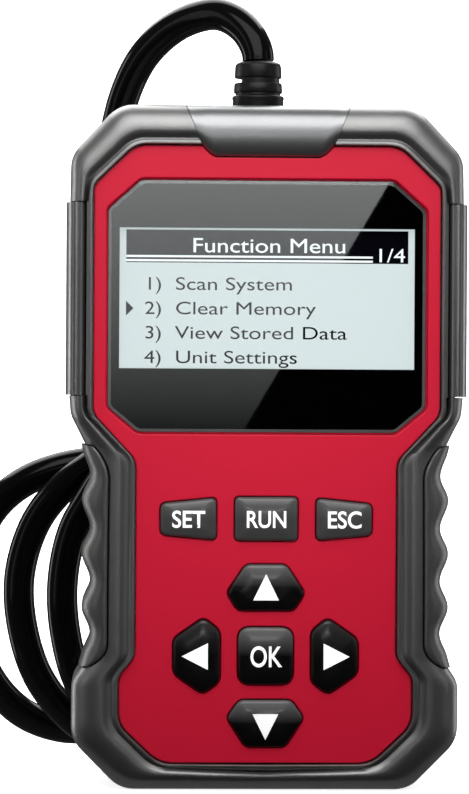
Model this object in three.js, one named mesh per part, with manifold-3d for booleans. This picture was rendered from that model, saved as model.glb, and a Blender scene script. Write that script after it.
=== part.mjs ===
// Handheld diagnostic code reader with its moulded lead and 16-way vehicle plug.
// Millimetres. X is to the right, Y runs from the front face to the back, Z is up.
// The case stands on its bottom end: the origin is the centre of that end.
import * as THREE from 'three';
import { mergeVertices } from 'three/addons/utils/BufferGeometryUtils.js';
import Module from 'manifold-3d';

const wasm = await Module();
wasm.setup();

// ---------------------------------------------------------------- driving dimensions

const CASE_DEPTH = 31;
const CASE_HEIGHT = 165;
const GAP = 0.3;                        // between pieces that rest on each other
const WALL = 2.2;

const FRONT = -CASE_DEPTH / 2;
const BACK = CASE_DEPTH / 2;
const PART_LINE = 8;                    // where the bumper ends and the rear cover begins
const LIP = FRONT + 0.5;                // top of the thin lip around the front panel
const SHOULDER = FRONT + 5.3;           // where the rounded front of the bumper meets its side

const PANEL_FRONT = FRONT + 1.9;
const PANEL_THICK = 2.3;
const PANEL_BACK = PANEL_FRONT + PANEL_THICK;
const FLANGE_FRONT = PANEL_BACK + GAP;  // the bumper's flange under the panel's edge
const FLANGE_BACK = FLANGE_FRONT + 1.4;
const FLANGE_REACH = 1.4;

const BOARD_FRONT = -4;
const BOARD_BACK = -2.4;

const KEY_TOP = FRONT + 0.3;
const KEY_FLANGE = 0.9;                 // how far a key's flange reaches under the panel
const KEY_CLEARANCE = 0.35;

const CORD_RADIUS = 3.9;
const BOOT_TOP = 176.4;
const BOOT_X = -2;

// Each corner of the case's right half, from bottom to top: a point on the front panel's edge, the
// point on the outer edge that belongs to it, and how far from the corner each is rounded.
const CORNERS = [
  { edge: [0, 6.6], outer: [0, 0], round: [0, 0] },
  { edge: [25.4, 6.6], outer: [34.9, 0], round: [3.5, 3.5] },
  { edge: [35.2, 15.9], outer: [46.7, 11.8], round: [3, 3.5] },
  { edge: [35.2, 27.2], outer: [46.7, 26], round: [1.5, 1.8] },
  { edge: [31.3, 32], outer: [43.4, 31], round: [1.5, 1.5] },
  { edge: [31.3, 79.3], outer: [43.4, 83], round: [2, 2] },
  { edge: [41.7, 90.5], outer: [47.2, 90], round: [2, 1.5] },
  { edge: [41.7, 94.7], outer: [47.6, 94.7], round: [0, 0] },
  { edge: [41.7, 141.4], outer: [47.6, 141.4], round: [0, 0] },
  { edge: [41.7, 145.3], outer: [47.4, 152.7], round: [1.5, 3] },
  { edge: [31.7, 155], outer: [35.9, 165], round: [3, 4] },
  { edge: [15.9, 155], outer: [19.9, 165], round: [0, 0] },
  { edge: [14, 153], outer: [17.5, 165], round: [0.8, 0] },
  { edge: [12.6, 152.2], outer: [16, 165], round: [0.5, 0] },
  { edge: [0, 152.2], outer: [0, 165], round: [0, 0] },
];

// Stretches of that outline, as places along it: 3.5 is halfway from corner 3 to corner 4
const GRIP_START = 3.7;
const GRIP_END = 5.12;
const INSERT_START = 7;
const INSERT_END = 8;
const CAP_START = 11;
const OUTLINE_END = CORNERS.length - 1;
const STEP = 0.02;                      // how short a change of section is, in the same measure

// Finger notches of the grips
const NOTCH_PITCH = 12.8;
const NOTCH_LOWEST = 37.6;
const NOTCH_DEPTH = 2;
const GRIP_SEAM = 6.7;                  // from the panel's edge to the seam, along the straight part
const GRIP_THICK = 3.2;

const INSERT_OUT = 0.9;                 // how far the side inserts stand proud of the bumper
const INSERT_SEAM = 1.9;
const CAP_THICK = 2.6;

// Display
const LENS = [[31.2, 85.9], [38.5, 92], [38.5, 139.8], [30.5, 146.9]];
const WINDOW = { x: 35.6, low: 101.4, high: 135.3 };

// Keys: outline corners and the radius of those corners
const BACK_KEY = [[11.9, 60], [25.6, 61.3], [25.6, 69.1], [11.9, 70.5]];
const RIGHT_KEY = [[22.4, 28], [22.4, 36.5], [14.9, 41.7], [10.8, 38.4], [10.8, 26], [15.1, 22.9]];
const KEYS = {
  menu: { points: flipped(BACK_KEY), round: 1.5 },
  check: { points: mirrored([[7.7, 59.9], [7.7, 70.7]]), round: 1.3 },
  back: { points: BACK_KEY, round: 1.5 },
  up: { points: mirrored([[6.85, 43.1], [9.6, 47.5], [4.9, 54.5]]), round: 1.3 },
  down: { points: mirrored([[4.9, 10.3], [9.5, 17.5], [6.3, 21.9]]), round: 1.3 },
  left: { points: flipped(RIGHT_KEY), round: 1.6 },
  right: { points: RIGHT_KEY, round: 1.6 },
  ok: { points: mirrored([[6.8, 25.3], [6.8, 39.4]]), round: 3.2 },
};

// Screws
const CASE_SCREWS = {
  right_lower: [26.8, 15.2],
  left_lower: [-26.8, 15.2],
  right_upper: [27, 150.2],
  left_upper: [-27, 150.2],
};
const BOARD_SCREWS = { right: [25.5, 77.5], left: [-25.5, 77.5] };

// ---------------------------------------------------------------- materials

const satinGrey = new THREE.MeshStandardMaterial({ color: 0x4a4b4d, roughness: 0.5, metalness: 0 });
const capGrey = new THREE.MeshStandardMaterial({ color: 0x55565a, roughness: 0.4, metalness: 0 });
const gripRubber = new THREE.MeshStandardMaterial({ color: 0x3a3a3c, roughness: 0.7, metalness: 0 });
const redPlastic = new THREE.MeshStandardMaterial({ color: 0xc21f35, roughness: 0.45, metalness: 0 });
const blackGloss = new THREE.MeshStandardMaterial({ color: 0x0b0b0c, roughness: 0.2, metalness: 0 });
const clearPlastic = new THREE.MeshStandardMaterial({ color: 0x2b2d30, roughness: 0.08, metalness: 0 });
const lcdGlass = new THREE.MeshStandardMaterial({ color: 0xd5e4ec, roughness: 0.15, metalness: 0 });
const diffuser = new THREE.MeshStandardMaterial({ color: 0xf2f4f5, roughness: 0.6, metalness: 0 });
const blackPlastic = new THREE.MeshStandardMaterial({ color: 0x151516, roughness: 0.55, metalness: 0 });
const cordBlack = new THREE.MeshStandardMaterial({ color: 0x0e0e0f, roughness: 0.35, metalness: 0 });
const silicone = new THREE.MeshStandardMaterial({ color: 0x8d9094, roughness: 0.8, metalness: 0 });
const boardGreen = new THREE.MeshStandardMaterial({ color: 0x1f5a36, roughness: 0.5, metalness: 0 });
const creamPlastic = new THREE.MeshStandardMaterial({ color: 0xe6e0cf, roughness: 0.6, metalness: 0 });
const plainSteel = new THREE.MeshStandardMaterial({ color: 0xb4b7ba, roughness: 0.35, metalness: 1 });
const brassPin = new THREE.MeshStandardMaterial({ color: 0xc9a24c, roughness: 0.35, metalness: 1 });
const labelSilver = new THREE.MeshStandardMaterial({ color: 0xc9cbce, roughness: 0.5, metalness: 0 });

// ---------------------------------------------------------------- shape helpers

const reader = new THREE.Group();

function addPart(name, geometry, material) {
  geometry.computeVertexNormals();
  const mesh = new THREE.Mesh(geometry, material);
  mesh.name = name;
  reader.add(mesh);
  return mesh;
}

function toSolid(geometry) {
  const bare = new THREE.BufferGeometry();
  bare.setAttribute('position', geometry.getAttribute('position').clone());
  bare.setIndex(geometry.getIndex());
  const merged = mergeVertices(bare, 1e-4);
  const vertProperties = new Float32Array(merged.getAttribute('position').array);
  const triVerts = new Uint32Array(merged.getIndex().array);
  return new wasm.Manifold(new wasm.Mesh({ numProp: 3, vertProperties, triVerts }));
}

function toGeometry(solid) {
  const { vertProperties, triVerts } = solid.getMesh();
  const geometry = new THREE.BufferGeometry();
  geometry.setAttribute('position', new THREE.BufferAttribute(new Float32Array(vertProperties), 3));
  geometry.setIndex(new THREE.BufferAttribute(new Uint32Array(triVerts), 1));
  return geometry;
}

// A body cut and joined from others
function combine(base, added, removed) {
  let solid = toSolid(base);
  for (const geometry of added) solid = solid.add(toSolid(geometry));
  for (const geometry of removed) solid = solid.subtract(toSolid(geometry));
  return toGeometry(solid);
}

function block(xLow, xHigh, yLow, yHigh, zLow, zHigh) {
  const geometry = new THREE.BoxGeometry(xHigh - xLow, yHigh - yLow, zHigh - zLow);
  return geometry.translate((xLow + xHigh) / 2, (yLow + yHigh) / 2, (zLow + zHigh) / 2);
}

// A cylinder whose axis runs from front to back
function pin(x, z, radius, yLow, yHigh, sides = 16) {
  const geometry = new THREE.CylinderGeometry(radius, radius, yHigh - yLow, sides);
  return geometry.translate(x, (yLow + yHigh) / 2, z);
}

// A front-view shape given thickness from yLow to yHigh, with an optional bevel around both faces
function plate(shape, yLow, yHigh, bevel = 0, bevelSegments = 1, curveSegments = 3) {
  const geometry = new THREE.ExtrudeGeometry(shape, {
    depth: yHigh - yLow - 2 * bevel,
    bevelEnabled: bevel > 0,
    bevelThickness: bevel,
    bevelSize: bevel,
    bevelOffset: -bevel,
    bevelSegments,
    curveSegments,
  });
  geometry.rotateX(Math.PI / 2);
  return geometry.translate(0, yHigh - bevel, 0);
}

// A shape with its corners rounded by quadratic curves that start `round` before each corner
function roundedShape(points, round) {
  const shape = new THREE.Shape();
  points.forEach(([x, z], index) => {
    const corner = new THREE.Vector2(x, z);
    const before = new THREE.Vector2(...points[(index + points.length - 1) % points.length]);
    const after = new THREE.Vector2(...points[(index + 1) % points.length]);
    const start = corner.clone().add(before.sub(corner).setLength(round));
    const end = corner.clone().add(after.sub(corner).setLength(round));
    if (index === 0) shape.moveTo(start.x, start.y);
    else shape.lineTo(start.x, start.y);
    shape.quadraticCurveTo(x, z, end.x, end.y);
  });
  shape.closePath();
  return shape;
}

// A convex outline, listed anticlockwise, moved outward by `distance`
function offset(points, distance) {
  return points.map((point, index) => {
    const corner = new THREE.Vector2(...point);
    const before = new THREE.Vector2(...points[(index + points.length - 1) % points.length]);
    const after = new THREE.Vector2(...points[(index + 1) % points.length]);
    const inward = corner.clone().sub(before).normalize();
    const outward = after.sub(corner).normalize();
    const normalIn = new THREE.Vector2(inward.y, -inward.x);
    const normalOut = new THREE.Vector2(outward.y, -outward.x);
    const shift = normalIn.add(normalOut).normalize();
    const cosine = shift.dot(new THREE.Vector2(inward.y, -inward.x));
    const moved = corner.add(shift.multiplyScalar(distance / cosine));
    return [moved.x, moved.y];
  });
}

// A right-hand outline turned over to the left hand, still listed anticlockwise
function flipped(points) {
  return points.map(([x, z]) => [-x, z]).reverse();
}

// Right-half points listed upward, completed by their mirror image
function mirrored(points) {
  return [...points, ...flipped(points)];
}

// ---------------------------------------------------------------- the case outline

function cornerLengths(line, index) {
  const here = new THREE.Vector2(...CORNERS[index][line]);
  const before = new THREE.Vector2(...CORNERS[index - 1][line]);
  const after = new THREE.Vector2(...CORNERS[index + 1][line]);
  return [here.distanceTo(before), here.distanceTo(after)];
}

function straightPoint(line, place) {
  const index = Math.min(Math.floor(place), OUTLINE_END - 1);
  const low = new THREE.Vector2(...CORNERS[index][line]);
  const high = new THREE.Vector2(...CORNERS[index + 1][line]);
  return low.lerp(high, place - index);
}

// How far a corner's rounding reaches before and after it, as places along the outline
function roundingReach(line, index) {
  const amount = CORNERS[index].round[line === 'edge' ? 0 : 1];
  if (amount === 0) return [0, 0];
  return cornerLengths(line, index).map((length) => Math.min(amount / length, 0.49));
}

// The point at a place along one of the two lines, 'edge' or 'outer'
function linePoint(line, place) {
  const index = Math.round(place);
  if (index > 0 && index < OUTLINE_END) {
    const [before, after] = roundingReach(line, index);
    if (place > index - before && place < index + after) {
      const start = straightPoint(line, index - before);
      const end = straightPoint(line, index + after);
      const corner = new THREE.Vector2(...CORNERS[index][line]);
      const s = (place - index + before) / (before + after);
      start.multiplyScalar((1 - s) ** 2);
      return start.addScaledVector(corner, 2 * s * (1 - s)).addScaledVector(end, s * s);
    }
  }
  return straightPoint(line, place);
}

// A station holds the panel edge's point, the direction to the outer edge and the distance to it
function station(place) {
  const edge = linePoint('edge', place);
  const across = linePoint('outer', place).sub(edge);
  const direction = across.clone().normalize();
  return { place, edge, direction, width: across.length(), z: linePoint('outer', place).y };
}

function mirrorStation({ place, edge, width, direction, z }) {
  return {
    place,
    edge: new THREE.Vector2(-edge.x, edge.y),
    width,
    direction: new THREE.Vector2(-direction.x, direction.y),
    z,
  };
}

// Places from `low` to `high` that follow every rounded corner between them, on both lines
function placesBetween(low, high, perCorner) {
  const places = [low];
  for (let index = Math.ceil(low); index <= Math.floor(high); index += 1) {
    for (const line of ['edge', 'outer']) {
      const [before, after] = index > 0 && index < OUTLINE_END ? roundingReach(line, index) : [0, 0];
      for (let step = 0; step <= perCorner; step += 1) {
        places.push(index - before + (step / perCorner) * (before + after));
      }
    }
  }
  places.push(high);
  const inside = places.filter((place) => place >= low && place <= high).sort((a, b) => a - b);
  return inside.filter((place, index) => index === 0 || place - inside[index - 1] > 0.015);
}

function evenPlaces(low, high, count) {
  return Array.from({ length: count + 1 }, (_, index) => low + ((high - low) * index) / count);
}

// Stations all the way round, from the bottom centre up the right side and down the left
function fullLoop(places) {
  const right = places.map(station);
  const left = right.slice(1, -1).map(mirrorStation).reverse();
  return [...right, ...left];
}

function sectionPoint(at, [w, y]) {
  const flat = at.edge.clone().addScaledVector(at.direction, w);
  return [flat.x, y, flat.y];
}

// Joins a row of closed sections into one body: a ring if `closed`, or a bar with flat ends
function loft(rows, closed, endFaces) {
  const count = rows[0].length;
  const positions = rows.flat(2);
  const indices = [];
  const spans = closed ? rows.length : rows.length - 1;
  for (let row = 0; row < spans; row += 1) {
    const here = row * count;
    const next = ((row + 1) % rows.length) * count;
    for (let k = 0; k < count; k += 1) {
      const j = (k + 1) % count;
      indices.push(here + k, next + k, next + j, here + k, next + j, here + j);
    }
  }
  if (!closed) {
    const last = (rows.length - 1) * count;
    for (const [a, b, c] of endFaces[0]) indices.push(a, b, c);
    for (const [a, b, c] of endFaces[1]) indices.push(last + c, last + b, last + a);
  }
  const geometry = new THREE.BufferGeometry();
  geometry.setAttribute('position', new THREE.Float32BufferAttribute(positions, 3));
  geometry.setIndex(signedVolume(positions, indices) < 0 ? indices.reverse() : indices);
  return geometry;
}

function signedVolume(positions, indices) {
  const corner = (index) => new THREE.Vector3().fromArray(positions, 3 * indices[index]);
  let total = 0;
  for (let index = 0; index < indices.length; index += 3) {
    total += corner(index).dot(corner(index + 1).cross(corner(index + 2)));
  }
  return total / 6;
}

function fillPolygon(points) {
  const outline = points.map(([a, b]) => new THREE.Vector2(a, b));
  return THREE.ShapeUtils.triangulateShape(outline, []);
}

// A piece that follows the case's outline, its section given by `section(station)`
function band(stations, section, closed = false) {
  const sections = stations.map(section);
  const rows = stations.map((at, index) => sections[index].map((point) => sectionPoint(at, point)));
  const ends = closed ? null : [fillPolygon(sections[0]), fillPolygon(sections.at(-1))];
  return loft(rows, closed, ends);
}

// A piece stacked from front to back out of outlines, each at a depth y and inset from the outer edge
function stack(stations, levels, insetWidth) {
  const rows = levels.map(([y, inset]) => (
    stations.map((at) => sectionPoint(at, [insetWidth(at) - inset, y]))
  ));
  const faces = fillPolygon(rows[0].map(([x, , z]) => [x, z]));
  return loft(rows, false, [faces, faces]);
}

// ---------------------------------------------------------------- bumper, grips, inserts and cap

function zoneOf(place) {
  if (place > GRIP_START && place < GRIP_END) return 'grip';
  if (place > INSERT_START && place < INSERT_END) return 'insert';
  if (place > CAP_START) return 'cap';
  return 'plain';
}

// Depth of the bumper's front surface, which rises to a crest and rounds over to the side
function crownDepth(w, width) {
  const crest = 1.4 + 0.35 * width;
  if (w < crest) return FRONT + 0.6 * ((crest - w) / (crest - 2.4)) ** 2;
  const fall = Math.min((w - crest) / (width - crest), 1);
  return FRONT + (SHOULDER - FRONT) * (1 - Math.sqrt(1 - fall * fall));
}

// The seam of a grip bends outward at both of its ends
function gripSeam(at) {
  const above = Math.max(0, (at.z - 76) / 8);
  const below = Math.max(0, (35 - at.z) / 6);
  return GRIP_SEAM + (at.width - 1.5 - GRIP_SEAM) * Math.max(above, below) ** 2;
}

// How far the grip's surface stands from the straight outer edge: inward at the finger notches
function notchWave(z) {
  return -(NOTCH_DEPTH / 2) * Math.cos((2 * Math.PI * (z - NOTCH_LOWEST)) / NOTCH_PITCH);
}

function bumperOuter(at) {
  const zone = zoneOf(at.place);
  if (zone === 'grip') return at.width - GRIP_THICK;
  if (zone === 'insert') return at.width - 1.9;
  if (zone === 'cap') return at.width - CAP_THICK - GAP;
  return at.width;
}

function bumperSection(at) {
  const { width } = at;
  const zone = zoneOf(at.place);
  const outer = bumperOuter(at);
  const under = [[-FLANGE_REACH, FLANGE_BACK], [-FLANGE_REACH, FLANGE_FRONT], [GAP, FLANGE_FRONT]];
  const side = [[outer, PART_LINE], [outer - WALL, PART_LINE], [outer - WALL, FLANGE_BACK]];
  if (zone === 'cap') {
    const floor = PANEL_BACK - 0.2;
    const across = evenPlaces(0.5, outer, 6).map((w) => [w, floor]);
    return [...under, ...across, ...side];
  }
  const lip = [[GAP, LIP], [1.3, LIP], [1.7, LIP + 0.4]];
  if (zone === 'insert') {
    const step = [[INSERT_SEAM - 0.1, LIP + 0.5], [INSERT_SEAM, -12]];
    return [...under, ...lip, ...step, [outer - 0.1, FLANGE_BACK - 0.3], [outer, FLANGE_BACK], ...side];
  }
  const crest = 1.4 + 0.35 * width;
  if (zone === 'grip') {
    const seam = gripSeam(at) - GAP / 2;
    const ridge = [[Math.min(crest, seam - 1), FRONT], [seam, crownDepth(seam, width)]];
    return [...under, ...lip, ...ridge, [seam, PANEL_BACK - 0.5], [outer, SHOULDER + 0.7], ...side];
  }
  const falls = [0.5, 0.85].map((part) => crest + part * (width - crest));
  const ridge = [crest, ...falls].map((w) => [w, crownDepth(w, width)]);
  return [...under, ...lip, ...ridge, [outer, SHOULDER], ...side];
}

function gripSection(at) {
  const seam = gripSeam(at) + GAP / 2;
  const outer = at.width + notchWave(at.z);
  const inner = at.width - GRIP_THICK + GAP;
  const top = crownDepth(seam, at.width) - 0.15;
  const bulge = seam + 0.6 * (outer - seam);
  return [
    [seam, top + 0.4],
    [seam + 0.5, top],
    [bulge, top + 1.1],
    [outer - 0.5, SHOULDER - 0.6],
    [outer, SHOULDER + 1.4],
    [outer, PART_LINE],
    [inner, PART_LINE],
    [inner, SHOULDER + 0.55],
    [seam, PANEL_BACK - 0.8],
  ];
}

function insertSection(at) {
  const outer = at.width + INSERT_OUT;
  const inner = at.width - 1.9 + GAP;
  const seam = INSERT_SEAM + GAP / 2;
  const middle = (seam + outer) / 2;
  return [
    [seam, FRONT + 2.6],
    [middle - 1.6, FRONT + 1],
    [middle, FRONT + 0.5],
    [middle + 1.4, FRONT + 1.4],
    [outer - 0.3, FRONT + 3.9],
    [outer, SHOULDER + 0.6],
    [outer, PART_LINE],
    [inner, PART_LINE],
    [inner, FLANGE_BACK - 0.5],
    [seam, -12.5],
  ];
}

function capSection(at) {
  const { width } = at;
  const back = PANEL_BACK - 0.2 - GAP;
  return [
    [GAP, back],
    [GAP, PANEL_FRONT + 0.2],
    [0.12 * width, FRONT + 0.8],
    [0.3 * width, FRONT + 0.2],
    [0.55 * width, FRONT + 0.1],
    [0.85 * width, FRONT + 0.9],
    [0.96 * width, FRONT + 2.6],
    [width, FRONT + 4.6],
    [width, PART_LINE],
    [width - CAP_THICK, PART_LINE],
    [width - CAP_THICK, back],
  ];
}

const GRIP_PLACES = evenPlaces(GRIP_START + STEP, GRIP_END - STEP, 17);
const BUMPER_PLACES = [
  ...placesBetween(0, GRIP_START, 2),
  GRIP_START + STEP / 2,
  ...GRIP_PLACES,
  GRIP_END - STEP / 2,
  ...placesBetween(GRIP_END, INSERT_START, 2),
  INSERT_START + STEP / 2,
  INSERT_END - STEP / 2,
  ...placesBetween(INSERT_END, CAP_START, 2),
  ...placesBetween(CAP_START + STEP, OUTLINE_END, 1),
];

const bootHole = new THREE.CylinderGeometry(5.5, 5.5, 12, 16).rotateX(Math.PI / 2);
bootHole.translate(BOOT_X, 0, CASE_HEIGHT - 3);

addPart('bumper', combine(band(fullLoop(BUMPER_PLACES), bumperSection, true), [], [bootHole]), satinGrey);

addPart('right_grip', band(GRIP_PLACES.map(station), gripSection), gripRubber);
addPart('left_grip', band(GRIP_PLACES.map(station).map(mirrorStation), gripSection), gripRubber);

const INSERT_PLACES = [INSERT_START + STEP, INSERT_END - STEP];
addPart('right_side_insert', band(INSERT_PLACES.map(station), insertSection), capGrey);
addPart('left_side_insert', band(INSERT_PLACES.map(station).map(mirrorStation), insertSection), capGrey);

const CAP_RIGHT = placesBetween(CAP_START + 2 * STEP, OUTLINE_END, 1).map(station);
const CAP_LEFT = CAP_RIGHT.slice(0, -1).map(mirrorStation).reverse();
addPart('top_cap', combine(band([...CAP_RIGHT, ...CAP_LEFT], capSection), [], [bootHole]), capGrey);

// ---------------------------------------------------------------- front panel

const panelPlaces = placesBetween(0, OUTLINE_END, 2);
const panelShape = new THREE.Shape(fullLoop(panelPlaces).map(({ edge }) => edge));
const lensOutline = mirrored(LENS);

function keyHole({ points, round }) {
  const shape = roundedShape(offset(points, KEY_CLEARANCE), round);
  return plate(shape, PANEL_FRONT - 1, PANEL_BACK + 1, 0, 1, 2);
}

function boss([x, z], radius, yHigh) {
  return pin(x, z, radius, PANEL_BACK - 1, yHigh, 14);
}

const ledgeOuter = roundedShape(offset(lensOutline, 1.3), 1);
ledgeOuter.holes.push(new THREE.Path(roundedShape(offset(lensOutline, -2.2), 1).getPoints(1)));
const BOSS_END = 2.2;
const POST_END = BOARD_FRONT - GAP;
addPart('front_panel', combine(
  plate(panelShape, PANEL_FRONT, PANEL_BACK),
  [
    plate(ledgeOuter, PANEL_BACK - 0.5, PANEL_BACK + 1, 0, 1, 1),
    ...Object.values(CASE_SCREWS).map((place) => boss(place, 2.6, BOSS_END)),
    ...Object.values(BOARD_SCREWS).map((place) => boss(place, 2.2, POST_END)),
  ],
  [
    plate(roundedShape(offset(lensOutline, GAP), 1), PANEL_FRONT - 1, PANEL_BACK, 0, 1, 1),
    ...Object.values(KEYS).map(keyHole),
    ...Object.values(CASE_SCREWS).map(([x, z]) => pin(x, z, 1.5, -9, BOSS_END + 1, 12)),
    ...Object.values(BOARD_SCREWS).map(([x, z]) => pin(x, z, 1.1, -9.5, POST_END + 1, 12)),
  ],
), redPlastic);

// ---------------------------------------------------------------- display

const lensShape = roundedShape(lensOutline, 1);
addPart('display_lens', plate(lensShape, PANEL_FRONT + 0.2, PANEL_FRONT + 1.4, 0.35, 1, 2), clearPlastic);

const maskShape = roundedShape(offset(lensOutline, -0.4), 1);
maskShape.holes.push(new THREE.Path([
  new THREE.Vector2(-WINDOW.x, WINDOW.low),
  new THREE.Vector2(-WINDOW.x, WINDOW.high),
  new THREE.Vector2(WINDOW.x, WINDOW.high),
  new THREE.Vector2(WINDOW.x, WINDOW.low),
]));
addPart('lens_mask', plate(maskShape, PANEL_FRONT + 1.7, PANEL_BACK - GAP, 0, 1, 1), blackGloss);

const LCD_FRONT = PANEL_BACK + 1 + GAP;
addPart('lcd_glass', block(-36.4, 36.4, LCD_FRONT, LCD_FRONT + 1.8, 99, 138), lcdGlass);
addPart('backlight_panel', block(-36.4, 36.4, LCD_FRONT + 2.1, LCD_FRONT + 4, 99, 138), diffuser);
addPart('lcd_frame', combine(
  block(-38, 38, LCD_FRONT, POST_END, 97.4, 139.6),
  [],
  [block(-36.7, 36.7, LCD_FRONT - 1, POST_END + 1, 98.7, 138.3)],
), blackPlastic);

// ---------------------------------------------------------------- circuit board and what it carries

const boardOutline = mirrored([[20, 8.5], [20, 19], [29, 19], [29, 84], [38, 92], [38, 146], [24, 146]]);
const boardShape = new THREE.Shape(boardOutline.map(([x, z]) => new THREE.Vector2(x, z)));
addPart('circuit_board', combine(
  plate(boardShape, BOARD_FRONT, BOARD_BACK),
  [],
  Object.values(BOARD_SCREWS).map(([x, z]) => pin(x, z, 1.3, BOARD_FRONT - 1, BOARD_BACK + 1, 12)),
), boardGreen);

const ON_BOARD = BOARD_BACK + GAP;
addPart('main_chip', block(-7, 7, ON_BOARD, ON_BOARD + 1.4, 44, 58), blackPlastic);
addPart('crystal_can', block(12, 22, ON_BOARD, ON_BOARD + 3.5, 49, 53.5), plainSteel);
addPart('power_inductor', block(-24, -14, ON_BOARD, ON_BOARD + 4.5, 108, 118), blackPlastic);
addPart('power_capacitor', pin(20, 112, 5, ON_BOARD, ON_BOARD + 9), plainSteel);
addPart('buzzer', pin(16, 30, 6, ON_BOARD, ON_BOARD + 6), blackPlastic);

// ---------------------------------------------------------------- keypad

const MAT_BACK = BOARD_FRONT - GAP;
const MAT_FRONT = MAT_BACK - 1.2;
const PLUNGER_END = -6.3;
const matOutline = mirrored([[20, 9], [20, 19], [28, 19], [28, 72.5]]);
const matShape = new THREE.Shape(matOutline.map(([x, z]) => new THREE.Vector2(x, z)));

function keyCentre({ points }) {
  const xs = points.map(([x]) => x);
  const zs = points.map(([, z]) => z);
  return [(Math.min(...xs) + Math.max(...xs)) / 2, (Math.min(...zs) + Math.max(...zs)) / 2];
}

addPart('keypad_mat', combine(
  plate(matShape, MAT_FRONT, MAT_BACK),
  [],
  Object.values(KEYS).map((key) => pin(...keyCentre(key), 4, MAT_FRONT - 1, MAT_BACK + 1, 10)),
), silicone);

function makeKey(name, key) {
  const [x, z] = keyCentre(key);
  const capEnd = FLANGE_FRONT + 0.5;
  const cap = plate(roundedShape(key.points, key.round), KEY_TOP, capEnd, 0.8, 2, 2);
  const flangeShape = roundedShape(offset(key.points, KEY_FLANGE), key.round);
  const flange = plate(flangeShape, FLANGE_FRONT, FLANGE_FRONT + 0.8, 0, 1, 1);
  const stem = pin(x, z, 1.8, FLANGE_FRONT + 0.4, PLUNGER_END, 10);
  addPart(`key_${name}`, combine(cap, [flange, stem], []), blackGloss);
  const pillFront = PLUNGER_END + GAP;
  addPart(`contact_pill_${name}`, pin(x, z, 2.2, pillFront, pillFront + 0.9, 10), blackPlastic);
}

for (const [name, key] of Object.entries(KEYS)) makeKey(name, key);

// ---------------------------------------------------------------- rear cover and its label

const COVER_FRONT = PART_LINE + GAP;
const COVER_FLOOR = BACK - WALL;

function coverWidth(at) {
  const onGrip = at.place > GRIP_START && at.place < GRIP_END;
  return onGrip ? at.width - 1.1 : at.width;
}

const coverStations = fullLoop(placesBetween(0, OUTLINE_END, 2));
const LABEL = { x: 27, low: 92, high: 132 };
const TOWER_FRONT = BOSS_END + GAP;
const HEAD_SEAT = 11.3;
const coverLevels = [[COVER_FRONT, 0], [11.5, 0.5], [14.2, 1.7], [BACK, 4]];
const coverHollow = [[COVER_FRONT - 1, WALL], [11, WALL + 0.6], [COVER_FLOOR, WALL + 2.6]];
const coverShell = combine(
  stack(coverStations, coverLevels, coverWidth),
  [],
  [
    stack(coverStations, coverHollow, coverWidth),
    block(-LABEL.x - GAP, LABEL.x + GAP, BACK - 0.8, BACK + 1, LABEL.low - GAP, LABEL.high + GAP),
  ],
);
addPart('rear_cover', combine(
  coverShell,
  Object.values(CASE_SCREWS).map(([x, z]) => pin(x, z, 4.2, TOWER_FRONT, COVER_FLOOR + 0.5, 12)),
  Object.values(CASE_SCREWS).flatMap(([x, z]) => [
    pin(x, z, 1.7, TOWER_FRONT - 1, BACK + 1, 8),
    pin(x, z, 3.3, HEAD_SEAT, BACK + 1, 12),
  ]),
), satinGrey);
const ratingPlate = block(-LABEL.x, LABEL.x, BACK - 0.5, BACK - 0.1, LABEL.low, LABEL.high);
addPart('rating_plate', ratingPlate, labelSilver);

// ---------------------------------------------------------------- screws

// A pan-head screw with a cross recess, driven from the back towards the front
function makeScrew(name, [x, z], seat, tip, headRadius, shankRadius, headHeight) {
  const slot = headRadius * 0.62;
  addPart(name, combine(
    pin(x, z, headRadius, seat, seat + headHeight, 12),
    [pin(x, z, shankRadius, tip, seat + 0.5, 8)],
    [
      block(x - slot, x + slot, seat + headHeight - 1, seat + headHeight + 1, z - 0.35, z + 0.35),
      block(x - 0.35, x + 0.35, seat + headHeight - 1, seat + headHeight + 1, z - slot, z + slot),
    ],
  ), plainSteel);
}

for (const [name, place] of Object.entries(CASE_SCREWS)) {
  makeScrew(`case_screw_${name}`, place, HEAD_SEAT + GAP, -8, 2.8, 1.25, 2);
}
for (const [name, place] of Object.entries(BOARD_SCREWS)) {
  makeScrew(`board_screw_${name}`, place, BOARD_BACK + GAP, -9, 2, 0.9, 1.4);
}

// ---------------------------------------------------------------- lead: strain relief, inner end and cord

// The strain relief passes through the bumper and the cap, with its flange inside the case. A slot on
// its left side goes in as far as the cord.
const bootProfile = [
  [0, 157.4], [7.6, 157.4], [7.6, 159.4], [5, 159.4], [5, 165.4], [6.25, 165.4], [6.35, 167.6],
  [5.5, 168.2], [5.5, 168.8], [5.9, 169.1], [5.8, 171.2], [5.3, 171.3], [5.3, 172.5], [5.75, 172.6],
  [5.6, 175.6], [4.9, BOOT_TOP], [0, BOOT_TOP],
];
const boot = new THREE.LatheGeometry(bootProfile.map(([r, z]) => new THREE.Vector2(r, z)), 14);
boot.rotateX(Math.PI / 2).translate(BOOT_X, 0, 0);
const bootSlot = block(BOOT_X - 8, BOOT_X - CORD_RADIUS, -7, 7, 171.2, 172.6);
addPart('cable_boot', combine(boot, [], [bootSlot]), cordBlack);

addPart('cable_header', block(BOOT_X - 10, BOOT_X + 10, ON_BOARD, ON_BOARD + 5.4, 128, 133), creamPlastic);
const cableSocket = block(BOOT_X - 9, BOOT_X + 9, ON_BOARD + 0.3, ON_BOARD + 5, 133.3, 140);
addPart('cable_socket', cableSocket, creamPlastic);
const innerLead = new THREE.CylinderGeometry(2.2, 2.2, 157.1 - 140.3, 10).rotateX(Math.PI / 2);
addPart('inner_lead', innerLead.translate(BOOT_X, ON_BOARD + 2.4, (157.1 + 140.3) / 2), cordBlack);

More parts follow.
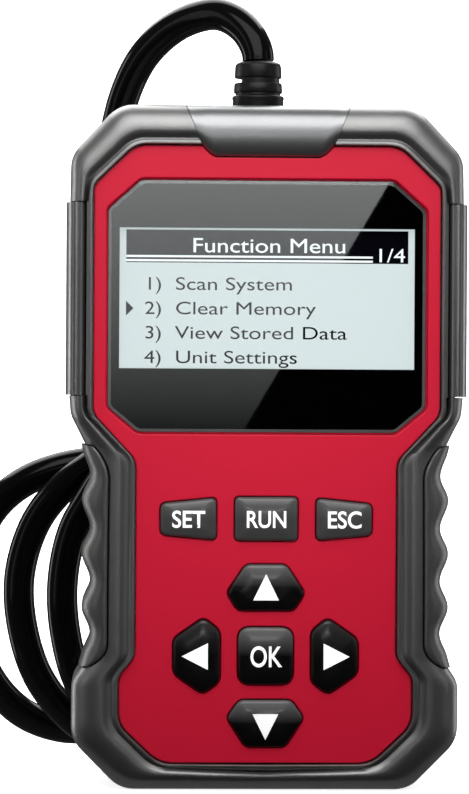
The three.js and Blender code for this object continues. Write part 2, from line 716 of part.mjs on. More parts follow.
// The free cord, from the strain relief over the top corner, down behind the case, round three loose
// turns that stand behind it on the floor, and along the floor to the plug
const LEAD_ROUTE = [
  [-2, 0, 176.8], [-2.1, 0.1, 178.4], [-2.9, 0.6, 181], [-4.8, 1.8, 184.2], [-7.9, 3.7, 187.1],
  [-11.9, 6.2, 188.8], [-16.6, 9.1, 188.5], [-21.8, 12.3, 186.5], [-26.4, 15.1, 183.2],
  [-30.3, 17.6, 178.8], [-33.3, 19.5, 173.2], [-35.7, 20.6, 166], [-37.8, 21, 154], [-38.4, 20.8, 138],
  [-37.2, 20.5, 122], [-34.8, 20.4, 107], [-33.6, 20.4, 94], [-35.4, 20.4, 81], [-41.7, 20.4, 70.4],
  [-46.9, 20.4, 60.8], [-49.4, 20.4, 48], [-48.6, 20.4, 35], [-44.6, 20.4, 21.8], [-36, 20.6, 11],
  [-21, 21.2, 5], [-1, 22, 4.6], [18, 23, 9.6], [31, 24.2, 22], [36.5, 25.4, 41], [34, 26.6, 61],
  [24, 27.6, 76], [8, 28.4, 85], [-10, 28.8, 87.4], [-28, 28.8, 84], [-44.6, 28.8, 75.6],
  [-55.4, 28.8, 64.4], [-60.3, 28.8, 50], [-59.6, 28.8, 36], [-54.8, 28.8, 22.4], [-45, 29, 11.6],
  [-31, 29.6, 5.4], [-13, 30.6, 4.6], [5, 31.8, 8.2], [19, 33, 18.4], [26.6, 34, 34], [26, 35, 51],
  [17.6, 36, 65.4], [2, 36.8, 74.6], [-14, 37.2, 78], [-29, 37.2, 78.4], [-42, 37.2, 77.8],
  [-51.5, 37.2, 76], [-59.6, 37.2, 72.6], [-66.4, 37.2, 67], [-71.2, 37.2, 59], [-73.4, 37.2, 50],
  [-73.6, 37.4, 40.4], [-71.6, 37.8, 30.4], [-67, 38.6, 20.8], [-60, 40.2, 13.6], [-51, 43.2, 9.6],
  [-41.6, 47.8, 8.8], [-33, 53, 9.6], [-25, 57.8, 10.6], [-18.6, 60.2, 11], [-14, 60.4, 11],
];
const leadPath = new THREE.CatmullRomCurve3(LEAD_ROUTE.map(([x, y, z]) => new THREE.Vector3(x, y, z)));
leadPath.getUtoTmapping = (u) => u;     // steps fall on the listed points, which are closer in a tight bend

function tube(path, radius, steps, sides) {
  const circle = Array.from({ length: sides }, (_, index) => {
    const angle = (2 * Math.PI * index) / sides;
    return new THREE.Vector2(radius * Math.cos(angle), radius * Math.sin(angle));
  });
  const settings = { steps, extrudePath: path, bevelEnabled: false };
  return new THREE.ExtrudeGeometry(new THREE.Shape(circle), settings);
}

addPart('lead', tube(leadPath, CORD_RADIUS, LEAD_ROUTE.length - 1, 8), cordBlack);

// ---------------------------------------------------------------- plug, lying on its flat side

const PLUG_HALF_HEIGHT = 11;
const leadEnd = new THREE.Vector3(...LEAD_ROUTE.at(-1));

// Moves plug geometry, drawn with its axis along +X from the cord's end, into place
function placePlug(geometry) {
  return geometry.translate(leadEnd.x, leadEnd.y, PLUG_HALF_HEIGHT);
}

// A tube along X through rounded outlines, each given by its place, half width, half height and taper
function plugLoft(levels) {
  const rows = levels.map(([x, halfY, halfZ, narrow]) => {
    const chamfer = Math.min(3, halfZ * 0.35);
    return [
      [x, -halfY + chamfer, halfZ], [x, -halfY, halfZ - chamfer],
      [x, -halfY + narrow, -halfZ + chamfer], [x, -halfY + narrow + chamfer, -halfZ],
      [x, halfY - narrow - chamfer, -halfZ], [x, halfY - narrow, -halfZ + chamfer],
      [x, halfY, halfZ - chamfer], [x, halfY - chamfer, halfZ],
    ];
  });
  const faces = fillPolygon(rows[0].map(([, y, z]) => [y, z]));
  return loft(rows, false, [faces, faces]);
}

const PLUG_BACK = 15;
const SHROUD_START = 46;
const PLUG_END = 60;
const reliefProfile = [
  [0, 0.3], [4.6, 0.3], [5, 1.2], [5, 3.6], [4.4, 4], [4.4, 5.2], [5.6, 5.6], [5.6, 8.4], [5, 8.8],
  [5, 10], [6.4, 10.4], [6.4, PLUG_BACK], [0, PLUG_BACK],
];
const relief = new THREE.LatheGeometry(reliefProfile.map(([r, x]) => new THREE.Vector2(r, x)), 14);
addPart('plug_boot', placePlug(toGeometry(toSolid(relief.rotateZ(-Math.PI / 2)))), cordBlack);

const plugBody = plugLoft([
  [PLUG_BACK + GAP, 13, 8, 0],
  [PLUG_BACK + 3, 15, 9.5, 0],
  [26, 21, PLUG_HALF_HEIGHT, 0],
  [42, 22.5, PLUG_HALF_HEIGHT, 0],
  [SHROUD_START, 22.5, PLUG_HALF_HEIGHT, 0],
]);
const shroud = plugLoft([[SHROUD_START - 1, 19.6, 8.6, 2.2], [PLUG_END, 19.6, 8.6, 2.2]]);
const shroudMouth = plugLoft([[SHROUD_START + 1, 18.2, 7.2, 2.2], [PLUG_END + 1, 18.2, 7.2, 2.2]]);
addPart('plug_shell', placePlug(combine(plugBody, [shroud], [shroudMouth])), blackPlastic);

const CONTACT_FRONT = SHROUD_START + 5;
const contactBlock = block(SHROUD_START + 1.3, CONTACT_FRONT, -15, 15, -4.6, 4.6);
addPart('plug_contact_block', placePlug(contactBlock), blackPlastic);

// Nine of the sixteen ways carry a blade: the others are left empty
const BLADE_PITCH = 4;
const BLADE_ROWS = 5.2;                   // between the middles of the two rows
const WAYS_IN_ROW = 8;
for (const way of [2, 4, 5, 6, 7, 10, 14, 15, 16]) {
  const inUpperRow = way <= WAYS_IN_ROW;
  const column = inUpperRow ? way : way - WAYS_IN_ROW;
  const y = (column - (WAYS_IN_ROW + 1) / 2) * BLADE_PITCH;
  const z = (inUpperRow ? BLADE_ROWS : -BLADE_ROWS) / 2;
  const blade = block(CONTACT_FRONT + GAP, PLUG_END - 2, y - 0.9, y + 0.9, z - 0.35, z + 0.35);
  addPart(`plug_blade_${way}`, placePlug(blade), brassPin);
}

export default reader;
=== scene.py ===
"""Looks of the handheld diagnostic code reader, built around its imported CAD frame.

Shapes are worked out in millimetres in the frame's own axes (X right, Y front to back, Z up, origin at
the centre of the case's bottom end) and turned into metres when a mesh is made.
"""

import math

import bmesh
import bpy
from mathutils import Matrix, Vector


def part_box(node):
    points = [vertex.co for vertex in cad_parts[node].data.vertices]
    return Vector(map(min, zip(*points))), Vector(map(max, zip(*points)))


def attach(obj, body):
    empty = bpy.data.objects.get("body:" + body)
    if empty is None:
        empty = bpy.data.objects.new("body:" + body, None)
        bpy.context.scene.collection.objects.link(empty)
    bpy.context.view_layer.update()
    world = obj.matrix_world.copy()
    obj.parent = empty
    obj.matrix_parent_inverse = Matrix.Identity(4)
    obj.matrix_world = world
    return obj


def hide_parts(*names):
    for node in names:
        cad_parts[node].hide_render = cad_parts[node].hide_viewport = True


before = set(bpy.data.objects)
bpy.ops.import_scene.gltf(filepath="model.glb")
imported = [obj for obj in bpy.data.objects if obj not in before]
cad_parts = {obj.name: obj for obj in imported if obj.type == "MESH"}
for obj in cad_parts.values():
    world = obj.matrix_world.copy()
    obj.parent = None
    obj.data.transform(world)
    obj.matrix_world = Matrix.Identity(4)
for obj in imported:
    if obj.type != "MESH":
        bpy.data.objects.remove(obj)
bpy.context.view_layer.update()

MM = 0.001

# ---- driving dimensions (mm)

FRONT = -15.5
BACK = 15.5
PART_LINE = 8.0
GAP = 0.3
WALL = 2.2
LIP = FRONT + 0.5
SHOULDER = FRONT + 5.3
PANEL_FRONT = FRONT + 1.9
PANEL_BACK = PANEL_FRONT + 2.3
FLANGE_FRONT = PANEL_BACK + GAP
FLANGE_BACK = FLANGE_FRONT + 1.4
FLANGE_REACH = 1.4
KEY_TOP = FRONT + 0.3
CORD_RADIUS = 3.9
BOOT_X = -2.0
BOOT_TOP = 176.4
BOOT_HOLE_RADIUS = 5.4
CASE_HEIGHT = 165.0

# Corners of the case's right half: panel edge (line 0), outer edge (line 1), and how far each is rounded
CORNERS = [
    ((0, 6.6), (0, 0), (0, 0)),
    ((25.4, 6.6), (34.9, 0), (3.5, 3.5)),
    ((35.2, 15.9), (46.7, 11.8), (3, 3.5)),
    ((35.2, 27.2), (46.7, 26), (1.5, 1.8)),
    ((31.3, 32), (43.4, 31), (1.5, 1.5)),
    ((31.3, 79.3), (43.4, 83), (2, 2)),
    ((41.7, 90.5), (47.2, 90), (2, 1.5)),
    ((41.7, 94.7), (47.6, 94.7), (0, 0)),
    ((41.7, 141.4), (47.6, 141.4), (0, 0)),
    ((41.7, 145.3), (47.4, 152.7), (1.5, 3)),
    ((31.7, 155), (35.9, 165), (3, 4)),
    ((15.9, 155), (19.9, 165), (0, 0)),
    ((14, 153), (17.5, 165), (0.8, 0)),
    ((12.6, 152.2), (16, 165), (0.5, 0)),
    ((0, 152.2), (0, 165), (0, 0)),
]
GRIP_START, GRIP_END = 3.7, 5.12
INSERT_START, INSERT_END = 7, 8
CAP_START = 11
OUTLINE_END = len(CORNERS) - 1
STEP = 0.02                  # along the outline, where one corner to the next is 1
INSERT_STEP = 0.002
SEAM_STEP = 0.001
CLOSEST_PLACES = 0.004
LONGEST_ROUNDING = 0.49
NOTCH_PITCH, NOTCH_LOWEST, NOTCH_DEPTH = 12.8, 37.6, 2.0
GRIP_SEAM, GRIP_THICK = 6.7, 3.2
INSERT_OUT, INSERT_SEAM, INSERT_THICK, INSERT_FLOOR = 0.9, 1.9, 1.9, -12
CAP_THICK, CAP_FLOOR = 2.6, PANEL_BACK - 0.2
EDGE_ROLL = 0.4              # rounding of an inlay's edge at the parting line

LENS = [(31.2, 85.9), (38.5, 92), (38.5, 139.8), (30.5, 146.9)]
WINDOW_X, WINDOW_LOW, WINDOW_HIGH = 35.6, 101.4, 135.3

KEYS = {
    "menu": ([(-25.6, 61.3), (-11.9, 60), (-11.9, 70.5), (-25.6, 69.1)], 1.5),
    "check": ([(-7.7, 59.9), (7.7, 59.9), (7.7, 70.7), (-7.7, 70.7)], 1.3),
    "back": ([(11.9, 60), (25.6, 61.3), (25.6, 69.1), (11.9, 70.5)], 1.5),
    "up": ([(-6.85, 43.1), (6.85, 43.1), (9.6, 47.5), (4.9, 54.5), (-4.9, 54.5), (-9.6, 47.5)], 1.3),
    "down": ([(-4.9, 10.3), (4.9, 10.3), (9.5, 17.5), (6.3, 21.9), (-6.3, 21.9), (-9.5, 17.5)], 1.3),
    "left": ([(-22.4, 28), (-15.1, 22.9), (-10.8, 26), (-10.8, 38.4), (-14.9, 41.7), (-22.4, 36.5)], 1.6),
    "right": ([(22.4, 28), (22.4, 36.5), (14.9, 41.7), (10.8, 38.4), (10.8, 26), (15.1, 22.9)], 1.6),
    "ok": ([(-6.8, 25.3), (6.8, 25.3), (6.8, 39.4), (-6.8, 39.4)], 3.2),
}

LEAD_ROUTE = [
    (-2, 0, 176.8), (-2.1, 0.1, 178.4), (-2.9, 0.6, 181), (-4.8, 1.8, 184.2), (-7.9, 3.7, 187.1),
    (-11.9, 6.2, 188.8), (-16.6, 9.1, 188.5), (-21.8, 12.3, 186.5), (-26.4, 15.1, 183.2),
    (-30.3, 17.6, 178.8), (-33.3, 19.5, 173.2), (-35.7, 20.6, 166), (-37.8, 21, 154), (-38.4, 20.8, 138),
    (-37.2, 20.5, 122), (-34.8, 20.4, 107), (-33.6, 20.4, 94), (-35.4, 20.4, 81), (-41.7, 20.4, 70.4),
    (-46.9, 20.4, 60.8), (-49.4, 20.4, 48), (-48.6, 20.4, 35), (-44.6, 20.4, 21.8), (-36, 20.6, 11),
    (-21, 21.2, 5), (-1, 22, 4.6), (18, 23, 9.6), (31, 24.2, 22), (36.5, 25.4, 41), (34, 26.6, 61),
    (24, 27.6, 76), (8, 28.4, 85), (-10, 28.8, 87.4), (-28, 28.8, 84), (-44.6, 28.8, 75.6),
    (-55.4, 28.8, 64.4), (-60.3, 28.8, 50), (-59.6, 28.8, 36), (-54.8, 28.8, 22.4), (-45, 29, 11.6),
    (-31, 29.6, 5.4), (-13, 30.6, 4.6), (5, 31.8, 8.2), (19, 33, 18.4), (26.6, 34, 34), (26, 35, 51),
    (17.6, 36, 65.4), (2, 36.8, 74.6), (-14, 37.2, 78), (-29, 37.2, 78.4), (-42, 37.2, 77.8),
    (-51.5, 37.2, 76), (-59.6, 37.2, 72.6), (-66.4, 37.2, 67), (-71.2, 37.2, 59), (-73.4, 37.2, 50),
    (-73.6, 37.4, 40.4), (-71.6, 37.8, 30.4), (-67, 38.6, 20.8), (-60, 40.2, 13.6), (-51, 43.2, 9.6),
    (-41.6, 47.8, 8.8), (-33, 53, 9.6), (-25, 57.8, 10.6), (-18.6, 60.2, 11), (-14, 60.4, 11),
]

SMOOTH_ANGLE = 35.0          # degrees: edges that fold more sharply than this stay sharp
MERGE_DISTANCE = 1e-7        # metres


def link_object(name, data):
    item = bpy.data.objects.new(name, data)
    bpy.context.collection.objects.link(item)
    return item


def evaluated_mesh(item):
    """A new mesh of the object as it stands, with its modifiers applied"""
    return bpy.data.meshes.new_from_object(item.evaluated_get(bpy.context.evaluated_depsgraph_get()))


# ---- camera

AIM = Vector((-7.75, -12.0, 94.6)) * MM     # the middle of the view, on the case's front
CAMERA_DISTANCE = 0.8
CAMERA_YAW = math.radians(2.0)              # a little to the case's left
CAMERA_ROLL = math.radians(0.33)
VIEW_HEIGHT = 0.1913                        # height of the frame at the case's front
SENSOR_WIDTH = 36.0


def make_camera():
    data = bpy.data.cameras.new("camera")
    data.sensor_width = SENSOR_WIDTH
    data.lens = CAMERA_DISTANCE / VIEW_HEIGHT * SENSOR_WIDTH
    camera = link_object("camera", data)
    back = Vector((-math.sin(CAMERA_YAW), -math.cos(CAMERA_YAW), 0))
    camera.location = AIM + back * CAMERA_DISTANCE
    turn = back.to_track_quat("Z", "Y").to_matrix().to_4x4()
    camera.matrix_world = Matrix.Translation(camera.location) @ turn @ Matrix.Rotation(CAMERA_ROLL, 4, "Z")
    bpy.context.scene.camera = camera
    return camera


camera = make_camera()

# ---- mesh helpers


def make_object(name, vertices, faces, smooth_angle=SMOOTH_ANGLE):
    """A mesh object from points in millimetres, smooth except where it folds more sharply than the angle"""
    mesh = bpy.data.meshes.new(name)
    mesh.from_pydata([tuple(Vector(v) * MM) for v in vertices], [], faces)
    mesh.validate()
    piece = link_object(name, mesh)
    finish_mesh(piece, smooth_angle)
    return piece


def finish_mesh(piece, smooth_angle=SMOOTH_ANGLE):
    """Faces point outward, shaded smooth, with sharp edges marked"""
    work = bmesh.new()
    work.from_mesh(piece.data)
    bmesh.ops.remove_doubles(work, verts=work.verts, dist=MERGE_DISTANCE)
    bmesh.ops.recalc_face_normals(work, faces=work.faces)
    limit = math.radians(smooth_angle)
    for face in work.faces:
        face.smooth = True
    for edge in work.edges:
        edge.smooth = len(edge.link_faces) == 2 and edge.calc_face_angle(0.0) < limit
    work.to_mesh(piece.data)
    work.free()


def loft(rows, closed=False):
    """Vertices and faces of a row of closed sections: a ring if closed, or with its ends filled"""
    count = len(rows[0])
    vertices = [point for row in rows for point in row]
    faces = []
    for row in range(len(rows) if closed else len(rows) - 1):
        here = row * count
        following = ((row + 1) % len(rows)) * count
        for k in range(count):
            j = (k + 1) % count
            faces.append((here + k, following + k, following + j, here + j))
    if not closed:
        last = (len(rows) - 1) * count
        faces.append(tuple(reversed(range(count))))
        faces.append(tuple(range(last, last + count)))
    return vertices, faces


def circle(count):
    """Cosine and sine at count even steps round a turn"""
    angles = [2 * math.pi * step / count for step in range(count)]
    return [(math.cos(angle), math.sin(angle)) for angle in angles]


def revolve(profile, segments, place):
    """A closed body turned from (radius, height) points; place(x, y, height) puts it in the frame"""
    turn = circle(segments)
    return loft([[place(radius * c, radius * s, height) for c, s in turn] for radius, height in profile])


def quarter_turn(count):
    """Angles from zero to a right angle in count steps"""
    return [0.5 * math.pi * step / count for step in range(count + 1)]


def with_neighbours(points):
    """The corners of a closed outline, each between the one before it and the one after it"""
    corners = [Vector(point) for point in points]
    return zip(corners[-1:] + corners[:-1], corners, corners[1:] + corners[:1])


def offset(points, distance):
    """A convex outline, listed anticlockwise, moved outward"""
    moved = []
    for before, corner, after in with_neighbours(points):
        inward = (corner - before).normalized()
        outward = (after - corner).normalized()
        normal_in = Vector((inward.y, -inward.x))
        normal_out = Vector((outward.y, -outward.x))
        shift = (normal_in + normal_out).normalized()
        moved.append(tuple(corner + shift * (distance / shift.dot(normal_in))))
    return moved


def bend(start, corner, end, s):
    """The point at s, from 0 to 1, on the quadratic curve that rounds a corner"""
    return start * (1 - s) ** 2 + corner * (2 * s * (1 - s)) + end * s * s


def rounded(points, radius, count):
    """An outline with each corner replaced by a quadratic curve of count steps"""
    outline = []
    for before, corner, after in with_neighbours(points):
        start = corner + (before - corner).normalized() * radius
        end = corner + (after - corner).normalized() * radius
        outline += [tuple(bend(start, corner, end, step / count)) for step in range(count + 1)]
    return outline


def middle_of(points):
    return Vector((sum(x for x, _ in points), sum(z for _, z in points))) / len(points)


# ---- the case outline


def corner_point(line, index):
    return Vector(CORNERS[index][line])


def straight_point(line, place):
    index = min(int(place), OUTLINE_END - 1)
    return corner_point(line, index).lerp(corner_point(line, index + 1), place - index)


def rounding_reach(line, index):
    amount = CORNERS[index][2][line]
    if amount == 0 or index in (0, OUTLINE_END):
        return 0.0, 0.0
    here = corner_point(line, index)
    lengths = [(here - corner_point(line, index + side)).length for side in (-1, 1)]
    return tuple(min(amount / length, LONGEST_ROUNDING) for length in lengths)


def line_point(line, place):
    """The point at a place along line 0, the panel's edge, or line 1, the outer edge"""
    index = round(place)
    if 0 < index < OUTLINE_END:
        before, after = rounding_reach(line, index)
        if index - before < place < index + after:
            start = straight_point(line, index - before)
            end = straight_point(line, index + after)
            return bend(start, corner_point(line, index), end, (place - index + before) / (before + after))
    return straight_point(line, place)


class Station:
    """A place on the outline: the panel edge's point, with the direction and distance to the outer edge"""

    def __init__(self, place, side=1):
        self.place = place
        self.edge = line_point(0, place)
        across = line_point(1, place) - self.edge
        self.width = across.length
        self.direction = across.normalized()
        self.z = line_point(1, place).y
        self.edge.x *= side
        self.direction.x *= side

    def point(self, w, y):
        flat = self.edge + self.direction * w
        return (flat.x, y, flat.y)


def places_between(low, high, per_corner):
    """Places that follow every rounded corner on both lines, with one halfway along each stretch"""
    places = {low, high}
    for index in range(math.ceil(low), math.floor(high) + 1):
        for line in (0, 1):
            before, after = rounding_reach(line, index)
            for step in range(per_corner + 1):
                places.add(index - before + (before + after) * step / per_corner)
        places.add(index + 0.5)
    inside = sorted(p for p in places if low <= p <= high)
    return [p for k, p in enumerate(inside) if k == 0 or p - inside[k - 1] > CLOSEST_PLACES]


def even_places(low, high, count):
    return [low + (high - low) * step / count for step in range(count + 1)]


def full_loop(places):
    right = [Station(place) for place in places]
    left = [Station(place, -1) for place in reversed(places[1:-1])]
    return right + left


def band(name, stations, section, closed=False):
    """A piece that follows the outline, its section given by section(station)"""
    rows = [[at.point(w, y) for w, y in section(at)] for at in stations]
    return make_object(name, *loft(rows, closed))


def zone_of(place):
    if GRIP_START < place < GRIP_END:
        return "grip"
    if INSERT_START < place < INSERT_END:
        return "insert"
    if place > CAP_START:
        return "cap"
    return "plain"


CROWN_STEPS = 18
CROWN_START = 1.9            # where the lip ends and the crown begins, from the panel's edge
CREST_OFFSET, CREST_SHARE = 1.4, 0.24
CREST_RISE, CREST_FOOT = 0.6, 2.4
SIDE_CHAMFER = 0.3
RECESSES = {"grip": GRIP_THICK, "insert": INSERT_THICK, "cap": CAP_THICK + GAP, "plain": 0}
GRIP_UPPER_TURN, GRIP_LOWER_TURN = (76, 8), (35, 6)     # height the seam turns outward at, and its reach
GRIP_END_MARGIN = 1.5


def crown_depth(w, width):
    """Depth of the bumper's front, which rises to a crest and rounds over to the side"""
    crest = CREST_OFFSET + CREST_SHARE * width
    if w < crest:
        return FRONT + CREST_RISE * ((crest - w) / (crest - CREST_FOOT)) ** 2
    fall = min((w - crest) / (width - crest), 1)
    return FRONT + (SHOULDER - FRONT) * (1 - math.sqrt(1 - fall * fall))


def crown_points(low, high, width, count):
    """Points over the bumper's front from w = low to high, closer together where it turns over"""
    turning = high >= width - 0.01
    parts = [math.sin(angle) for angle in quarter_turn(count)] if turning else even_places(0, 1, count)
    places = [low + (high - low) * part for part in parts]
    return [(w, crown_depth(w, width)) for w in places]


def grip_seam(at):
    """Distance of the seam between bumper and grip from the panel's edge"""
    above = max(0, (at.z - GRIP_UPPER_TURN[0]) / GRIP_UPPER_TURN[1])
    below = max(0, (GRIP_LOWER_TURN[0] - at.z) / GRIP_LOWER_TURN[1])
    return GRIP_SEAM + (at.width - GRIP_END_MARGIN - GRIP_SEAM) * max(above, below) ** 2


def notch_wave(z):
    return -(NOTCH_DEPTH / 2) * math.cos(2 * math.pi * (z - NOTCH_LOWEST) / NOTCH_PITCH)


def bumper_section(at):
    """The flange under the panel, the lip, the crown or the recess for an inlay, and the side"""
    zone = zone_of(at.place)
    outer = at.width - RECESSES[zone]
    under = [(-FLANGE_REACH, FLANGE_BACK), (-FLANGE_REACH, FLANGE_FRONT), (GAP, FLANGE_FRONT)]
    side = rolled_edge(outer, outer - WALL, SIDE_CHAMFER) + [(outer - WALL, FLANGE_BACK)]
    if zone == "cap":
        return under + [(w, CAP_FLOOR) for w in even_places(0.5, outer, CROWN_STEPS + 7)] + side
    lip = [(GAP, LIP + 0.25), (GAP + 0.2, LIP), (1.05, LIP - 0.02), (1.3, LIP + 0.12), (1.55, LIP + 0.38)]
    if zone == "insert":
        low = [(INSERT_SEAM - 0.1, LIP + 0.5), (INSERT_SEAM, INSERT_FLOOR)]
        slope = [(w, INSERT_FLOOR + (FLANGE_BACK - INSERT_FLOOR) * (w - INSERT_SEAM) / (outer - INSERT_SEAM))
                 for w in even_places(INSERT_SEAM + 0.1, outer, CROWN_STEPS)]
        return under + lip + low + slope + side
    if zone == "grip":
        seam = grip_seam(at) - GAP / 2
        ridge = crown_points(CROWN_START, seam - 0.3, at.width, CROWN_STEPS - 2)
        wall = [(seam, crown_depth(seam, at.width) + 0.3), (seam, PANEL_BACK - 0.5)]
        return under + lip + ridge + wall + [(outer, SHOULDER + 0.7), (outer, SHOULDER + 2)] + side
    crown = crown_points(CROWN_START, outer, at.width, CROWN_STEPS)
    return under + lip + crown + [(outer, SHOULDER + 1), (outer, SHOULDER + 2)] + side


def rolled_edge(outer, inner, roll=EDGE_ROLL):
    """The end of a section at the parting line"""
    return [(outer, PART_LINE - roll), (outer - roll, PART_LINE), (inner, PART_LINE)]


def grip_section(at):
    """A rounded pad whose outer side follows the finger notches"""
    seam = grip_seam(at) + GAP / 2
    outer = at.width + notch_wave(at.z)
    inner = at.width - GRIP_THICK + GAP
    top = crown_depth(seam, at.width) - 0.15
    shoulder = SHOULDER + 1.4
    roll = 0.35
    reach = outer - seam - roll
    curve = [(seam + roll + reach * math.sin(angle), shoulder - (shoulder - top) * math.cos(angle))
             for angle in quarter_turn(14)]
    start = [(seam, PANEL_BACK - 0.8), (seam, top + roll), (seam + 0.1, top + 0.12)]
    return start + curve + rolled_edge(outer, inner) + [(inner, SHOULDER + 0.55)]


def insert_section(at):
    """A round bar, deepest at its seam with the bumper and at its outer side"""
    outer = at.width + INSERT_OUT
    inner = at.width - INSERT_THICK + GAP
    seam = INSERT_SEAM + GAP / 2
    middle = (seam + outer) / 2
    crest, inner_fall, outer_fall = FRONT + 0.5, 2.1, 5.4
    dome = [(middle - (middle - seam) * math.cos(angle), crest + inner_fall * (1 - math.sin(angle)))
            for angle in quarter_turn(12)]
    dome += [(middle + (outer - middle) * math.sin(angle), crest + outer_fall * (1 - math.cos(angle)))
             for angle in quarter_turn(14)[1:]]
    return [(seam, INSERT_FLOOR - 0.5)] + dome + rolled_edge(outer, inner) + [(inner, FLANGE_BACK - 0.5)]


def cap_section(at):
    """A curve from the panel's edge up to a crest at half the width, and down over the top"""
    width = at.width
    back = CAP_FLOOR - GAP
    edge, crest, shoulder = PANEL_FRONT + 0.2, FRONT + 0.05, FRONT + 5.0
    rise = [(GAP + (0.47 * width - GAP) * (1 - math.cos(angle)), edge + (crest - edge) * math.sin(angle))
            for angle in quarter_turn(10)[:-1]]
    fall = [(width * (0.5 + 0.5 * math.sin(angle)), shoulder - (shoulder - crest) * math.cos(angle))
            for angle in quarter_turn(12)]
    inner = width - CAP_THICK
    return [(GAP, back)] + rise + fall + rolled_edge(width, inner, SIDE_CHAMFER) + [(inner, back)]


# ---- materials


def new_material(name):
    """A material with its node tree and its principled shader"""
    material = bpy.data.materials.new(name)
    material.use_nodes = True
    material.cycles.emission_sampling = "NONE"
    tree = material.node_tree
    tree.nodes.clear()
    shader = add_node(tree, "BsdfPrincipled")
    add_node(tree, "OutputMaterial", Surface=shader.outputs["BSDF"])
    return material, tree, shader


def add_node(tree, kind, **values):
    node = tree.nodes.new("ShaderNode" + kind)
    set_inputs(tree, node, **values)
    return node


def set_inputs(tree, node, **values):
    """Sets or links a node's sockets, named with underscores for spaces, to constants or other outputs"""
    for name, value in values.items():
        socket = node.inputs[name.replace("_", " ")]
        if isinstance(value, bpy.types.NodeSocket):
            tree.links.new(value, socket)
        else:
            socket.default_value = value


def noise(tree, place, scale, detail):
    node = add_node(tree, "TexNoise", Scale=scale, Detail=detail, Vector=place.outputs["Object"])
    return node.outputs["Fac"]


def map_range(tree, value, low, high, start=0.0, end=1.0):
    """Maps a value from start and end to low and high"""
    node = add_node(tree, "MapRange", Value=value, From_Min=start, From_Max=end, To_Min=low, To_Max=high)
    return node.outputs["Result"]


def multiply(tree, first, second):
    node = add_node(tree, "Math")
    node.operation = "MULTIPLY"
    tree.links.new(first, node.inputs[0])
    tree.links.new(second, node.inputs[1])
    return node.outputs["Value"]


def axis_of(tree, vector, axis):
    return add_node(tree, "SeparateXYZ", Vector=vector).outputs[axis]


def moulded(name, colour, roughness, grain=2500.0, bump=0.02, mottle=0.06, edge=0.2, specular=0.5,
            metallic=0.0, painted_glow=0.0, painted_sheen_colour=None, spread=0.05):
    """Moulded plastic or rubber: a fine grain in the relief, and slight unevenness in colour and gloss. A
    painted sheen can lighten the colour toward the top, and a painted glow can make the surface give off
    light.
    """
    material, tree, shader = new_material(name)
    place = add_node(tree, "TexCoord")
    fine = noise(tree, place, grain, 3.0)
    tint_and_painted_sheen = add_node(tree, "ValToRGB")
    first, last = tint_and_painted_sheen.color_ramp.elements
    first.color = [c * (1 - mottle) for c in colour] + [1]
    # painted sheen: the colour turns lighter toward the piece's top, standing in for the reflection of the
    # light above
    if painted_sheen_colour:
        first.position, last.position = 0.5, 1.0
        last.color = list(painted_sheen_colour) + [1]
        set_inputs(tree, tint_and_painted_sheen, Fac=axis_of(tree, place.outputs["Generated"], "Z"))
    else:
        first.position, last.position = 0.3, 0.7
        last.color = [c * (1 + mottle) for c in colour] + [1]
        set_inputs(tree, tint_and_painted_sheen, Fac=noise(tree, place, 60.0, 4.0))
    relief = add_node(tree, "Bump", Strength=min(1.0, bump * 10), Distance=0.0001, Height=fine)
    if edge > 0:
        bevel = add_node(tree, "Bevel", Radius=edge * MM)
        bevel.samples = 4
        set_inputs(tree, relief, Normal=bevel.outputs["Normal"])
    set_inputs(tree, shader, Base_Color=tint_and_painted_sheen.outputs["Color"], Normal=relief.outputs["Normal"],
               Roughness=map_range(tree, fine, roughness - spread, roughness + spread),
               Specular_IOR_Level=specular, Metallic=metallic)
    # painted glow: the surface gives off light though it is no lamp
    if painted_glow > 0:
        set_inputs(tree, shader, Emission_Color=(1, 1, 1, 1), Emission_Strength=painted_glow)
    return material


def clear_window(name):
    """Clear acrylic: it lets light straight through, and its bevels mirror a little of the room"""
    material, tree, shader = new_material(name)
    tree.nodes.remove(shader)
    through = add_node(tree, "BsdfTransparent", Color=(0.97, 0.98, 0.98, 1))
    smear = noise(tree, add_node(tree, "TexCoord"), 35.0, 2.0)
    mirror = add_node(tree, "BsdfGlossy", Roughness=map_range(tree, smear, 0.16, 0.2))
    geometry = add_node(tree, "NewGeometry")
    outside = map_range(tree, geometry.outputs["Backfacing"], 1.0, 0.0)
    strength = multiply(tree, add_node(tree, "Fresnel", IOR=1.49).outputs["Fac"], outside)
    facing = axis_of(tree, geometry.outputs["True Normal"], "Y")
    bevels = map_range(tree, facing, 0.0, 1.0, -0.999, -0.99)
    mix = add_node(tree, "MixShader", Fac=multiply(tree, strength, bevels))
    tree.links.new(through.outputs["BSDF"], mix.inputs[1])
    tree.links.new(mirror.outputs["BSDF"], mix.inputs[2])
    set_inputs(tree, tree.nodes["Material Output"], Surface=mix.outputs["Shader"])
    return material


def lit_panel(name, colour, strength):
    """The liquid crystal's backlit ground, with the fine grid of its dots"""
    material, tree, shader = new_material(name)
    dots = add_node(tree, "TexChecker", Scale=2500.0, Vector=add_node(tree, "TexCoord").outputs["Object"],
                    Color1=[c * 0.985 for c in colour] + [1], Color2=list(colour) + [1]).outputs["Color"]
    set_inputs(tree, shader, Base_Color=dots, Emission_Color=dots, Emission_Strength=strength, Roughness=0.4)
    return material


def key_plastic(name, shade, painted_sheen_shade):
    """A key's gloss black, with a painted sheen that turns it lighter toward its upper end"""
    return moulded(name, (shade,) * 3, 0.22, grain=3000.0, bump=0.004, edge=0.1, painted_sheen_colour=(painted_sheen_shade,) * 3)


def glossy_print(name, colour, mottle=0.06):
    """Print on or behind the lens, which mirrors the room in its place"""
    return moulded(name, colour, 0.014, grain=60.0, bump=0.0, mottle=mottle, edge=0, spread=0.006)


